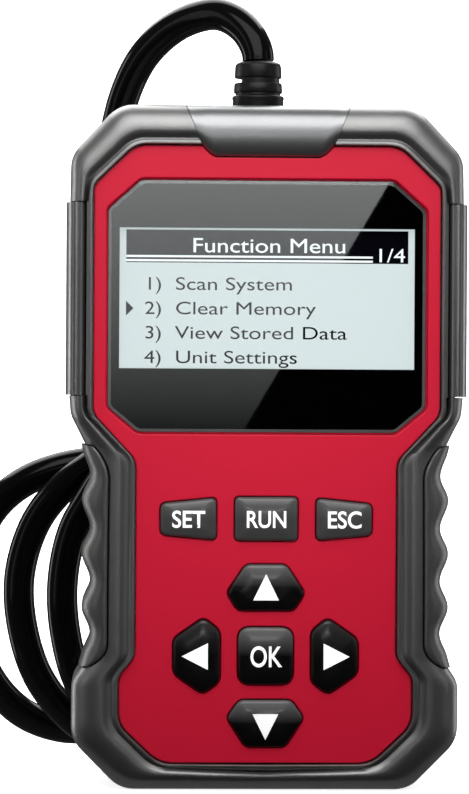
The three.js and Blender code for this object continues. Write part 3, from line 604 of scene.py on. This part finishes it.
BUMPER = moulded("bumper_plastic", (0.235, 0.235, 0.233), 0.4, bump=0.03, metallic=0.95)
TRIM = moulded("trim_plastic", (0.27, 0.274, 0.278), 0.34, edge=0, metallic=0.95)
SIDE_TRIM = moulded("side_trim_plastic", (0.24, 0.24, 0.24), 0.34, bump=0.01, edge=0, metallic=0.95)
GRIP = moulded("grip_rubber", (0.155, 0.155, 0.153), 0.42, bump=0.04, metallic=0.85)
PANEL = moulded("panel_plastic", (0.6, 0.006, 0.033), 0.5, grain=4000.0, bump=0.006, mottle=0.01, edge=0.15,
                specular=0.35)
# the keys' lighter upper ends are a painted sheen, not a print
KEY = key_plastic("key_plastic", 0.002, 0.12)
WORD_KEY = key_plastic("word_key_plastic", 0.055, 0.095)
SIDE_KEY = key_plastic("side_key_plastic", 0.002, 0.02)
# the symbols' paint has a painted glow, though nothing behind it lights it
SYMBOL = moulded("symbol_paint", (0.95, 0.95, 0.95), 0.5, bump=0.004, mottle=0.01, edge=0, painted_glow=0.35)
BORDER = glossy_print("border_print", (0.085, 0.086, 0.088))
MASK = glossy_print("mask_print", (0.0005, 0.0005, 0.0005))
CORD = moulded("cord_jacket", (0.002, 0.002, 0.002), 0.13, grain=900.0, bump=0.006, edge=0, specular=0.12)
BOOT = moulded("relief_rubber", (0.003, 0.003, 0.003), 0.4, bump=0.03, edge=0.15, specular=0.25)
PLUG = moulded("plug_plastic", (0.014, 0.014, 0.015), 0.45, bump=0.03, edge=0.3)
STEEL = moulded("plain_steel", (0.55, 0.56, 0.57), 0.34, grain=1500.0, bump=0.01, edge=0.1, metallic=1.0)
BRASS = moulded("brass_blade", (0.7, 0.5, 0.2), 0.34, grain=1500.0, bump=0.01, edge=0.05, metallic=1.0)
BOARD = moulded("board_mask", (0.012, 0.1, 0.035), 0.35, bump=0.004, edge=0.05)
INNER = moulded("inner_plastic", (0.01, 0.01, 0.011), 0.5, bump=0.01, edge=0.1)
SILICONE = moulded("grey_silicone", (0.27, 0.28, 0.3), 0.6, bump=0.01, edge=0.1)
PILL = moulded("carbon_silicone", (0.012, 0.012, 0.012), 0.7, bump=0.01, edge=0.1)
LABEL_FOIL = moulded("label_foil", (0.3, 0.305, 0.315), 0.45, grain=6000.0, bump=0.006, edge=0.05)
CREAM = moulded("cream_nylon", (0.78, 0.73, 0.62), 0.45, bump=0.01, edge=0.1)
DIFFUSER = moulded("light_guide", (0.9, 0.92, 0.93), 0.4, bump=0.004, edge=0)
CLEAR = clear_window("clear_acrylic")
LCD = lit_panel("lcd_ground", (0.25, 0.278, 0.28), 1.95)
INK = glossy_print("lcd_ink", (0.002, 0.002, 0.004), mottle=0.0)
LIT_INK = lit_panel("lcd_light_ink", (0.3, 0.32, 0.325), 2.6)


def assign(piece, material):
    piece.data.materials.clear()
    piece.data.materials.append(material)


def place_piece(piece, material, body="root", replaces=()):
    assign(piece, material)
    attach(piece, body)
    if replaces:
        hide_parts(*replaces)


# ---- the lead and its plug


def catmull_rom(points, per_span):
    """The centripetal curve through the points, per_span steps to a span"""
    knots = [Vector(p) for p in points]
    knots = [knots[0] * 2 - knots[1]] + knots + [knots[-1] * 2 - knots[-2]]
    line = []
    for index in range(1, len(knots) - 2):
        p0, p1, p2, p3 = knots[index - 1:index + 3]
        d0, d1, d2 = (max((b - a).length ** 0.5, 1e-4) for a, b in ((p0, p1), (p1, p2), (p2, p3)))
        out_of = ((p1 - p0) / d0 - (p2 - p0) / (d0 + d1) + (p2 - p1) / d1) * d1
        into = ((p2 - p1) / d1 - (p3 - p1) / (d1 + d2) + (p3 - p2) / d2) * d1
        for step in range(per_span):
            t = step / per_span
            line.append(p1 * (2 * t ** 3 - 3 * t * t + 1) + out_of * (t ** 3 - 2 * t * t + t)
                        + p2 * (3 * t * t - 2 * t ** 3) + into * (t ** 3 - t * t))
    line.append(knots[-2])
    return line


def tube(name, line, radius, sides):
    """A round tube along a line, its section carried along without twist"""
    rows = []
    tangent = (line[1] - line[0]).normalized()
    across = tangent.orthogonal().normalized()
    for index, point in enumerate(line):
        turned = (line[min(index + 1, len(line) - 1)] - line[max(index - 1, 0)]).normalized()
        across = (tangent.rotation_difference(turned) @ across).normalized()
        tangent = turned
        other = tangent.cross(across)
        rows.append([point + (across * c + other * s) * radius for c, s in circle(sides)])
    return make_object(name, *loft(rows))


lead_line = catmull_rom(LEAD_ROUTE, 8)
lead = tube("lead_cord", lead_line, CORD_RADIUS, 28)
place_piece(lead, CORD, replaces=["lead"])

plug_start = Vector(LEAD_ROUTE[-1])
PLUG_HALF_HEIGHT = 11.0
PLUG_BACK, SHROUD_START, PLUG_END = 15.0, 46.0, 60.0


def along_plug(x, y, height):
    """From a turned profile to the plug, whose axis runs along +X from the lead's end"""
    return (plug_start.x + height, plug_start.y + x, plug_start.z + y)


def rounded_rib(low, high, radius, rise):
    """Radius and height of a rib from low to high, its edges rounded by rise"""
    part = rise * 0.3
    return [(radius - rise, low), (radius - part, low + part), (radius, low + rise),
            (radius, high - rise), (radius - part, high - part), (radius - rise, high)]


relief_profile = [(0.2, 0.3), (3.9, 0.3)] + rounded_rib(0.4, 3.6, 5.0, 0.4) + [(4.3, 4.0), (4.3, 5.2)]
relief_profile += rounded_rib(5.4, 8.6, 5.6, 0.4) + [(4.9, 9.0), (4.9, 10.0)]
relief_profile += rounded_rib(10.2, PLUG_BACK, 6.3, 0.5) + [(0.2, PLUG_BACK)]
plug_relief = make_object("plug_strain_relief", *revolve(relief_profile, 40, along_plug), smooth_angle=40)
place_piece(plug_relief, CORD, replaces=["plug_boot"])


def plug_rows(levels):
    """Sections across the plug: a D outline, narrower below than above"""
    rows = []
    for x, half_y, half_z, narrow, radius in levels:
        below = half_y - narrow
        corners = [(-half_y, half_z), (-below, -half_z), (below, -half_z), (half_y, half_z)]
        outline = rounded(corners, radius, 6)
        rows.append([(plug_start.x + x, plug_start.y + y, PLUG_HALF_HEIGHT + z) for y, z in outline])
    return rows


def plug_body_levels():
    """The grip of the plug swells from the strain relief to its full size, with rounded ends"""
    levels = [(PLUG_BACK + GAP, 11.5, 6.4, 0, 3.2), (PLUG_BACK + GAP + 0.3, 12.6, 7.4, 0, 3.4)]
    for part in even_places(0, 1, 14):
        ease = part * part * (3 - 2 * part)
        levels.append((PLUG_BACK + 1.4 + 12.5 * part, 13.4 + 8.4 * ease, 8.1 + 2.9 * ease, 0, 3.6))
    levels += [(34, 22.1, PLUG_HALF_HEIGHT, 0, 3.4), (44.6, 22.5, PLUG_HALF_HEIGHT, 0, 3.2)]
    levels += [(45.4, 22.4, PLUG_HALF_HEIGHT - 0.1, 0, 3.2), (45.9, 22.0, PLUG_HALF_HEIGHT - 0.45, 0, 3.1)]
    return levels


shroud_levels = [(SHROUD_START, 21.5, PLUG_HALF_HEIGHT - 0.9, 0.6, 3.0)]
shroud_levels += [(x, half_y, half_z, 2.2, radius) for x, half_y, half_z, radius in (
    (SHROUD_START, 19.6, 8.6, 2.6), (PLUG_END - 0.4, 19.6, 8.6, 2.6), (PLUG_END, 19.3, 8.3, 2.6),
    (PLUG_END, 18.5, 7.5, 2.4), (PLUG_END - 0.3, 18.2, 7.2, 2.4), (SHROUD_START + 1, 18.2, 7.2, 2.4))]
plug_sections = plug_rows(plug_body_levels() + shroud_levels)
plug_shell = make_object("plug_housing", *loft(plug_sections), smooth_angle=40)
place_piece(plug_shell, PLUG, replaces=["plug_shell"])

on_the_lead = [plug_relief, plug_shell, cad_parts["plug_contact_block"]]
on_the_lead += [node for name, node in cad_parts.items() if name.startswith("plug_blade_")]

# ---- bumper, grips, inserts and cap


def apply_modifier(piece, kind, **settings):
    modifier = piece.modifiers.new(kind, kind)
    for name, value in settings.items():
        setattr(modifier, name, value)
    mesh = evaluated_mesh(piece)
    piece.modifiers.clear()
    piece.data = mesh


def cut(piece, cutter, operation="DIFFERENCE"):
    """Takes the cutter's volume out of a piece, or adds it, and removes the cutter"""
    apply_modifier(piece, "BOOLEAN", operation=operation, solver="EXACT", object=cutter)
    bpy.data.objects.remove(cutter)


def around_boot(x, y, height):
    """From a turned profile to the cord's strain relief, whose axis is upright"""
    return (BOOT_X + x, y, height)


def cut_boot_hole(piece):
    """The round hole for the cord's strain relief, through the top"""
    profile = [(BOOT_HOLE_RADIUS, CASE_HEIGHT - 9), (BOOT_HOLE_RADIUS, CASE_HEIGHT + 3)]
    cut(piece, make_object("hole", *revolve(profile, 48, around_boot)))
    finish_mesh(piece)


def cylinder_y(name, x, z, radius, low, high):
    return make_object(name, *revolve([(radius, low), (radius, high)], 40, lambda a, b, h: (x + a, h, z + b)))


grip_places = even_places(GRIP_START + STEP, GRIP_END - STEP, 90)
bumper_places = places_between(0, GRIP_START, 10)
bumper_places += [GRIP_START + SEAM_STEP] + grip_places + [GRIP_END - SEAM_STEP]
bumper_places += places_between(GRIP_END, INSERT_START, 10)
bumper_places += [INSERT_START + INSERT_STEP, INSERT_END - INSERT_STEP]
bumper_places += places_between(INSERT_END, CAP_START, 10) + places_between(CAP_START + STEP, OUTLINE_END, 6)
bumper = band("bumper_frame", full_loop(bumper_places), bumper_section, closed=True)
cut_boot_hole(bumper)
# shading that follows the large faces, so that the narrow ones that join them don't show
apply_modifier(bumper, "WEIGHTED_NORMAL", keep_sharp=True, weight=90)
place_piece(bumper, BUMPER, replaces=["bumper"])

for side, sign in (("right", 1), ("left", -1)):
    grip = band(f"{side}_finger_grip", [Station(p, sign) for p in grip_places], grip_section)
    place_piece(grip, GRIP, replaces=[f"{side}_grip"])
    insert_places = [INSERT_START + 2 * INSERT_STEP, INSERT_START + 4 * INSERT_STEP]
    insert_places += [INSERT_END - 4 * INSERT_STEP, INSERT_END - 2 * INSERT_STEP]
    insert = band(f"{side}_side_bar", [Station(p, sign) for p in insert_places], insert_section)
    place_piece(insert, SIDE_TRIM, replaces=[f"{side}_side_insert"])

cap_places = places_between(CAP_START + 2 * STEP, OUTLINE_END, 8)
cap_stations = [Station(p) for p in cap_places] + [Station(p, -1) for p in reversed(cap_places[:-1])]
cap = band("top_cover_cap", cap_stations, cap_section)
cut_boot_hole(cap)
place_piece(cap, TRIM, replaces=["top_cap"])

# ---- front panel and display


UPRIGHT = Matrix.Rotation(math.pi / 2, 4, "X")       # from the plane a curve is drawn in to the front plane


def curve_piece(name, curve, transform, change=None):
    """The solid a curve describes as a mesh object, changed while still flat and then put in place"""
    holder = link_object(name, curve)
    mesh = evaluated_mesh(holder)
    bpy.data.objects.remove(holder)
    if change:
        change(mesh)
    mesh.transform(transform)
    return link_object(name, mesh)


def flat_plate(name, outline, holes, low, high, bevel, material, replaces=()):
    """A plate in the front plane from y = low to y = high, with rounded edges around it and its holes"""
    curve = bpy.data.curves.new(name, "CURVE")
    curve.dimensions = "2D"
    curve.fill_mode = "BOTH"
    curve.extrude = ((high - low) / 2 - bevel) * MM
    curve.bevel_depth = bevel * MM
    curve.bevel_resolution = 3
    curve.offset = -bevel * MM
    for ring in [outline] + holes:
        spline = curve.splines.new("POLY")
        spline.points.add(len(ring) - 1)
        for point, (x, z) in zip(spline.points, ring):
            point.co = (x * MM, z * MM, 0, 1)
        spline.use_cyclic_u = True
    piece = curve_piece(name, curve, Matrix.Translation((0, (low + high) / 2 * MM, 0)) @ UPRIGHT)
    finish_mesh(piece)
    for polygon in piece.data.polygons:
        polygon.use_smooth = abs(polygon.normal.y) < 0.999
    place_piece(piece, material, replaces=replaces)


lens_outline = LENS + [(-x, z) for x, z in reversed(LENS)]
panel_outline = [tuple(at.edge) for at in full_loop(places_between(0, OUTLINE_END, 10))]


def lens_ring(distance, radius):
    """The lens's outline moved outward by the distance, with its corners rounded"""
    return rounded(offset(lens_outline, distance), radius, 6)


key_holes = [rounded(offset(points, 0.1), radius + 0.2, 8) for points, radius in KEYS.values()]
flat_plate("red_front_panel", panel_outline, key_holes + [lens_ring(0.3, 1.2)],
           PANEL_FRONT, PANEL_BACK, 0.3, PANEL, ["front_panel"])
flat_plate("panel_lens_ledge", lens_ring(1.3, 1.2), [lens_ring(-2.2, 1)],
           PANEL_BACK + 0.01, PANEL_BACK + 1, 0.1, PANEL)

LENS_LEVELS = [(0.05, 1.4), (0, 1.35), (0, 0.65), (0.06, 0.58), (0.95, 0.15), (1.1, 0.1)]   # inset, depth
lens_rows = [[(x, PANEL_FRONT + depth, z) for x, z in lens_ring(-inset, 1.2)] for inset, depth in LENS_LEVELS]
lens = make_object("clear_display_lens", *loft(lens_rows), smooth_angle=1)
place_piece(lens, CLEAR, replaces=["display_lens"])


def rectangle(low_x, low_z, high_x, high_z):
    return [(low_x, low_z), (high_x, low_z), (high_x, high_z), (low_x, high_z)]


window = rectangle(-WINDOW_X, WINDOW_LOW, WINDOW_X, WINDOW_HIGH)
flat_plate("black_lens_print", lens_ring(-0.2, 1.0), [window],
           PANEL_FRONT + 1.7, PANEL_BACK - GAP, 0.02, MASK, ["lens_mask"])
flat_plate("lens_border_print", lens_ring(-0.25, 1.1), [lens_ring(-0.95, 0.8)],
           PANEL_FRONT + 1.62, PANEL_FRONT + 1.69, 0.01, BORDER)

# ---- screen contents

LCD_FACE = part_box("lcd_glass")[0][1] / MM
PRINT_THICK = 0.04
DARK_PRINT = {"y": LCD_FACE, "material": INK, "slot": "lcd"}
LIGHT_PRINT = {"y": LCD_FACE - 0.05, "material": LIT_INK, "slot": "lcd"}


def front_shape(name, points, y, material, slot):
    """A thin flat shape in the front plane, standing just proud of y"""
    rows = [[(x, depth, z) for x, z in points] for depth in (y - PRINT_THICK, y + 0.01)]
    place_piece(make_object(name, *loft(rows)), material)


def embolden(mesh, amount):
    """Thickens flat lettering by moving each point of its outline outward"""
    work = bmesh.new()
    work.from_mesh(mesh)
    bmesh.ops.remove_doubles(work, verts=work.verts, dist=MERGE_DISTANCE)
    bmesh.ops.recalc_face_normals(work, faces=work.faces)
    shifts = []
    for vertex in work.verts:
        sides = [face.normal for face in vertex.link_faces
                 if abs(face.normal.z) < 0.1 and face.calc_area() > 0]
        outward = sum(sides, Vector()).normalized()
        lean = min((outward.dot(side) for side in sides), default=1.0)
        shifts.append(outward * amount / max(lean, 0.5))
    for vertex, shift in zip(work.verts, shifts):
        vertex.co += shift
    work.to_mesh(mesh)
    work.free()


CAPITAL_HEIGHT = 0.7         # of the font's size


def front_text(name, words, x, z, size, y, material, slot, body="root", align="LEFT", stretch=1, weight=0):
    """Words in the front plane: x, z is the baseline's left end or middle, size a capital's height"""
    curve = bpy.data.curves.new(name, "FONT")
    curve.body = words
    curve.size = size / CAPITAL_HEIGHT * MM
    curve.align_x = align
    curve.extrude = PRINT_THICK / 2 * MM
    curve.resolution_u = 6
    transform = Matrix.Translation((x * MM, (y - PRINT_THICK / 2) * MM, z * MM)) @ UPRIGHT
    piece = curve_piece(name, curve, transform @ Matrix.Diagonal((stretch, 1, 1, 1)),
                        lambda mesh: embolden(mesh, weight * MM))
    place_piece(piece, material, body)
    return piece


front_shape("screen_title_bar", rectangle(-34, 127.0, 34.2, 134.9), **DARK_PRINT)
front_text("screen_title", "Function Menu", 0.5, 129.5, 3.5, align="CENTER", stretch=1.24, weight=0.01,
           **LIGHT_PRINT)
for row, z in enumerate((128.5, 127.5)):
    front_shape(f"screen_rule_{row}", rectangle(-34, z - 0.25, 25.6, z + 0.25), **LIGHT_PRINT)
front_text("screen_page", "1/4", 29.8, 127.4, 3.3, align="CENTER", stretch=1.25, **LIGHT_PRINT)
for row, words in enumerate(("Scan System", "Clear Memory", "View Stored Data", "Unit Settings")):
    z = 120.4 - 5.9 * row
    front_text(f"screen_number_{row}", f"{row + 1})", -29.6, z, 3.1, stretch=1.2, **DARK_PRINT)
    front_text(f"screen_words_{row}", words, -22.2, z, 3.1, stretch=1.3, **DARK_PRINT)
front_shape("screen_pointer", [(-34, 117.7), (-34, 114.1), (-32.2, 115.9)], **DARK_PRINT)

# ---- keys


KEY_EDGE_DROP = 1.35
KEY_ROLL_REACH, KEY_ROLL_RISE = 0.6, 0.6
KEY_DOME_REACH, KEY_DOME_RISE = 4.0, 0.75
KEY_RINGS = (1, 0.997, 0.988, 0.972, 0.95, 0.925, 0.9, 0.86, 0.81, 0.75, 0.68, 0.6,
             0.5, 0.4, 0.3, 0.2, 0.1, 0.02)
SIGN_LIFT, SIGN_SINK = 0.04, -0.02      # a printed sign's front and back, outward from the key's face
KEY_MATERIALS = {"menu": WORD_KEY, "check": WORD_KEY, "back": WORD_KEY, "left": SIDE_KEY, "right": SIDE_KEY}


def key_surface(inset):
    """Depth of a key's domed face at a distance in from its edge"""
    roll = min(inset / KEY_ROLL_REACH, 1.0)
    dome = min(inset / KEY_DOME_REACH, 1.0)
    rise = KEY_ROLL_RISE * math.sqrt(1 - (1 - roll) ** 2) + KEY_DOME_RISE * (1 - (1 - dome) ** 2)
    return KEY_TOP + KEY_EDGE_DROP - rise


def key_outline(points, radius, count):
    """A key's rounded outline about its middle, each point with the middle's distance to its side"""
    middle = middle_of(points)
    depths = [abs((after - corner).normalized().cross(middle - corner))
              for _, corner, after in with_neighbours(points)]
    outline = []
    for index, (x, z) in enumerate(rounded(points, radius, count)):
        corner, step = divmod(index, count + 1)
        depth = depths[corner - 1] + (depths[corner] - depths[corner - 1]) * step / count
        outline.append((Vector((x, z)), depth))
    return middle, outline


def make_key(name, points, radius):
    """A domed cap with a rolled edge, closed underneath"""
    middle, outline = key_outline(offset(points, -0.15), radius, 12)
    rows = [[(p.x, FLANGE_FRONT + 0.3, p.y) for p, _ in outline]]
    for scale in KEY_RINGS:
        ring = [(middle + (p - middle) * scale, key_surface((1 - scale) * depth)) for p, depth in outline]
        rows.append([(place.x, y, place.y) for place, y in ring])
    piece = make_object(f"{name}_keycap", *loft(rows), smooth_angle=50)
    place_piece(piece, KEY_MATERIALS.get(name, KEY), f"{name}_key", replaces=[f"key_{name}"])
    return piece


def on_key(key, x, z):
    """Depth of a key's face at a point, in millimetres"""
    start = Vector((x, FRONT - 5, z)) * MM
    return key_caps[key].ray_cast(start, Vector((0, 1, 0)))[1].y / MM


key_caps = {name: make_key(name, points, radius) for name, (points, radius) in KEYS.items()}
bpy.context.view_layer.update()


def dense_polygon(points, steps):
    """The same outline with its sides cut into steps"""
    dense = []
    for _, start, end in with_neighbours(points):
        dense += [tuple(start.lerp(end, step / steps)) for step in range(steps)]
    return dense


def symbol_on_key(name, key, outline):
    """A printed symbol: a thin patch that follows the key's face, its back and front made of rings"""
    centre = middle_of(outline)
    rings = [[tuple(centre.lerp(Vector(p), part)) for p in outline] for part in (0.01, 0.25, 0.5, 0.75, 1.0)]
    layers = [(ring, SIGN_SINK) for ring in rings] + [(ring, SIGN_LIFT) for ring in reversed(rings)]
    rows = [[(x, on_key(key, x, z) - lift, z) for x, z in ring] for ring, lift in layers]
    place_piece(make_object(name, *loft(rows)), SYMBOL, f"{key}_key")


ARROWS = {
    "up": [(-3.1, 45.8), (3.1, 45.8), (0, 52.1)],
    "down": [(-3.1, 18.5), (0, 12.3), (3.1, 18.5)],
    "left": [(-20.2, 32.3), (-13.9, 29.1), (-13.9, 35.5)],
    "right": [(20.2, 32.3), (13.9, 35.5), (13.9, 29.1)],
}
for key, corners in ARROWS.items():
    symbol_on_key(f"{key}_arrow", key, dense_polygon(corners, 8))


def word_on_key(key, words, size, stretch, weight):
    """A printed word at the middle of a key, laid on its face"""
    points = KEYS[key][0]
    middle_x = sum(x for x, _ in points) / len(points)
    middle_z = (min(z for _, z in points) + max(z for _, z in points)) / 2
    piece = front_text(f"{key}_word", words, middle_x, middle_z - size / 2, size, 0, SYMBOL, "key",
                       f"{key}_key", align="CENTER", stretch=stretch, weight=weight)
    work = bmesh.new()
    work.from_mesh(piece.data)
    bmesh.ops.triangulate(work, faces=work.faces)
    bmesh.ops.subdivide_edges(work, edges=[e for e in work.edges if e.calc_length() > 0.4 * MM], cuts=2)
    bmesh.ops.triangulate(work, faces=work.faces)
    for vertex in work.verts:
        lift = SIGN_LIFT if vertex.co.y < -PRINT_THICK / 2 * MM else SIGN_SINK
        vertex.co.y = (on_key(key, vertex.co.x / MM, vertex.co.z / MM) - lift) * MM
    work.to_mesh(piece.data)
    work.free()


word_on_key("menu", "SET", 4.0, 0.9, 0.09)
word_on_key("check", "RUN", 4.0, 0.84, 0.09)
word_on_key("back", "ESC", 4.0, 0.9, 0.09)
word_on_key("ok", "OK", 4.9, 0.74, 0.1)

# ---- rear cover, screws and strain relief


GRIP_RECESS = 1.1            # the cover is this much narrower between the grips
COVER_TURN, COVER_TURN_IN = 11, 4.0     # depth where the cover turns over to its back, and how far in
TOWER_RADIUS, BORE_RADIUS, HEAD_HOLE_RADIUS = 4.2, 1.7, 3.3


def cover_row(stations, y, inset):
    recesses = [GRIP_RECESS if zone_of(at.place) == "grip" else 0 for at in stations]
    return [at.point(at.width - recess - inset, y) for at, recess in zip(stations, recesses)]


def make_rear_cover():
    """A shell listed from its inner floor, over its front edge, to its back"""
    stations = full_loop(places_between(0, OUTLINE_END, 8))
    front = PART_LINE + GAP
    inside = [(BACK - WALL, WALL + 2.6), (COVER_TURN, WALL + 0.6), (front, WALL)]
    outside = [(front, 0.3), (front + 0.3, 0)]
    for angle in quarter_turn(12):
        y = COVER_TURN + (BACK - COVER_TURN) * math.sin(angle)
        outside.append((y, COVER_TURN_IN * (1 - math.cos(angle)) ** 1.2))
    rows = [cover_row(stations, y, inset) for y, inset in inside + outside]
    return make_object("rear_shell_cover", *loft(rows))


rear = make_rear_cover()
for name in sorted(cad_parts):
    if name.startswith("case_screw_"):
        low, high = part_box(name)
        middle = (Vector(low) + Vector(high)) / 2 / MM
        cut(rear, cylinder_y("tower", middle.x, middle.z, TOWER_RADIUS, 2.5, BACK - WALL + 0.5), "UNION")
        cut(rear, cylinder_y("bore", middle.x, middle.z, BORE_RADIUS, 1.5, BACK + 1))
        cut(rear, cylinder_y("hole", middle.x, middle.z, HEAD_HOLE_RADIUS, 11.3, BACK + 1))
low, high = (Vector(corner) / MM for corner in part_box("rating_plate"))
recess = rounded(rectangle(low.x - GAP, low.z - GAP, high.x + GAP, high.z + GAP), 2, 6)
cut(rear, make_object("recess", *loft([[(x, y, z) for x, z in recess] for y in (BACK - 0.8, BACK + 1)])))
finish_mesh(rear)
place_piece(rear, BUMPER, replaces=["rear_cover"])

boot_profile = [
    (0.2, 157.4), (7.6, 157.4), (7.6, 159.4), (5, 159.4), (5, 165.1), (6.1, 165.1), (6.25, 165.4), (6.2, 167),
    (6.35, 167.4), (6.35, 167.8), (6.1, 168.1), (5.5, 168.25), (5.5, 168.8), (5.85, 168.9), (5.95, 169.1),
    (5.85, 171), (5.7, 171.2), (5.25, 171.25), (5.25, 172.5), (5.65, 172.55), (5.75, 172.8), (5.65, 175.2),
    (5.5, 175.8), (5.1, 176.2), (4.6, BOOT_TOP), (0.2, BOOT_TOP),
]
boot = make_object("strain_relief", *revolve(boot_profile, 48, around_boot), smooth_angle=40)
slot = rectangle(BOOT_X - 8, -7, BOOT_X - CORD_RADIUS, 7)
cut(boot, make_object("slot", *loft([[(x, y, z) for x, y in slot] for z in (171.2, 172.6)])))
finish_mesh(boot, 40)
place_piece(boot, BOOT, replaces=["cable_boot"])

# ---- CAD nodes that keep their own shape

NODE_MATERIALS = {
    "lcd_glass": LCD, "backlight_panel": DIFFUSER, "lcd_frame": INNER, "circuit_board": BOARD,
    "main_chip": INNER, "crystal_can": STEEL, "power_inductor": INNER, "power_capacitor": STEEL,
    "buzzer": INNER, "keypad_mat": SILICONE, "cable_header": CREAM, "cable_socket": CREAM,
    "inner_lead": CORD, "rating_plate": LABEL_FOIL, "plug_contact_block": INNER,
}
NUMBERED_MATERIALS = {"contact_pill_": PILL, "case_screw_": STEEL, "board_screw_": STEEL,
                      "plug_blade_": BRASS}
for name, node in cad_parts.items():
    numbered = [material for start, material in NUMBERED_MATERIALS.items() if name.startswith(start)]
    material = numbered[0] if numbered else NODE_MATERIALS.get(name)
    if material:
        for slot in node.material_slots:
            slot.material = material

# ---- studio


def flat_card(name, corners, colour, strength=0.0):
    """A card that takes no part in the picture itself, only in what the object reflects"""
    card = make_object(name, corners, [tuple(range(len(corners)))])
    material, tree, shader = new_material(name)
    set_inputs(tree, shader, Base_Color=colour + (1,), Specular_IOR_Level=0.0, Roughness=1.0)
    if strength:
        set_inputs(tree, shader, Emission_Color=(1, 1, 1, 1), Emission_Strength=strength)
    assign(card, material)
    card.visible_camera = False
    card.visible_shadow = False
    card.visible_transmission = False
    return card, tree, shader


def make_sweep():
    """A white paper floor that turns up into a wall well behind the object"""
    turn = [(1.0 + 0.5 * math.sin(angle), 0.5 - 0.5 * math.cos(angle)) for angle in quarter_turn(16)]
    profile = [(-1.5, 0)] + turn + [(1.5, 3.0)]
    vertices = [(x / MM, y / MM, z / MM) for x in (-3.0, 3.0) for y, z in profile]
    count = len(profile)
    faces = [(k, count + k, count + k + 1, k + 1) for k in range(count - 1)]
    sweep = make_object("studio_sweep", vertices, faces, smooth_angle=80)
    sweep.location.z = -0.0001
    material, tree, shader = new_material("white_paper")
    set_inputs(tree, shader, Base_Color=(0.9, 0.9, 0.9, 1), Roughness=0.9, Emission_Color=(1, 1, 1, 1),
               Emission_Strength=0.75)
    assign(sweep, material)
    sweep.visible_glossy = False


def area_light(name, location, aim, size, power):
    data = bpy.data.lights.new(name, "AREA")
    data.shape = "RECTANGLE"
    data.size, data.size_y = size
    data.energy = power
    light = link_object(name, data)
    light.location = location
    light.rotation_euler = (Vector(aim) - Vector(location)).to_track_quat("-Z", "Y").to_euler()
    light.visible_camera = False
    return light


def make_glare_card():
    """A bright card beside the camera, mirrored in the display: its slanted edge crosses the lens"""
    eye = camera.location / MM
    edge = ((30.6, 148), (-6.6, 84), (-60, 84), (-60, 165), (40.6, 165))    # where the lens shows it
    corners = [(2 * x - eye.x, eye.y - 20, 2 * z - eye.z) for x, z in edge]
    card, tree, shader = flat_card("glare_card", corners, (0, 0, 0), 1.0)
    height = axis_of(tree, add_node(tree, "TexCoord").outputs["Object"], "Z")
    set_inputs(tree, shader, Emission_Strength=map_range(tree, height, 0.0, 4.9, 0.07, 0.2))
    card.visible_diffuse = False


def make_world():
    world = bpy.data.worlds.new("studio")
    world.use_nodes = True
    set_inputs(world.node_tree, world.node_tree.nodes["Background"], Color=(1, 1, 1, 1), Strength=0.15)
    bpy.context.scene.world = world


make_sweep()
make_world()
make_glare_card()
flat_card("camera_flag", [(x, -880, z) for x, z in rectangle(-700, -300, 600, 300)], (0, 0, 0))
flat_card("floor_flag", [(x, y, 1) for x, y in rectangle(-400, -850, 400, -25)], (0.02, 0.02, 0.02))
flat_card("near_flag", [(x, y, 1) for x, y in rectangle(-60, -25, 60, -16)], (0.02, 0.02, 0.02))
area_light("key", (-0.01, -0.2, 0.3), (0, -0.015, 0.13), (0.27, 0.2), 0.61)
fill = area_light("fill", (0.0, -0.16, 0.085), (0, 0, 0.08), (0.08, 0.05), 0.098)
fill.visible_glossy = False
area_light("backdrop", (0.0, 1.0, 1.2), (0, 0.8, 0), (2.0, 1.5), 47.0)
area_light("left_strip", (-0.44, -0.22, 0.12), (0, 0, 0.08), (0.07, 0.5), 0.16)
area_light("right_strip", (0.45, -0.24, 0.12), (0, 0, 0.08), (0.03, 0.5), 0.11)
area_light("left_rim", (-0.45, 0.2, 0.12), (0, 0, 0.08), (0.1, 0.5), 0.75)
area_light("right_rim", (0.45, 0.2, 0.12), (0, 0, 0.08), (0.1, 0.5), 0.5)
bpy.context.scene.view_settings.view_transform = "Standard"
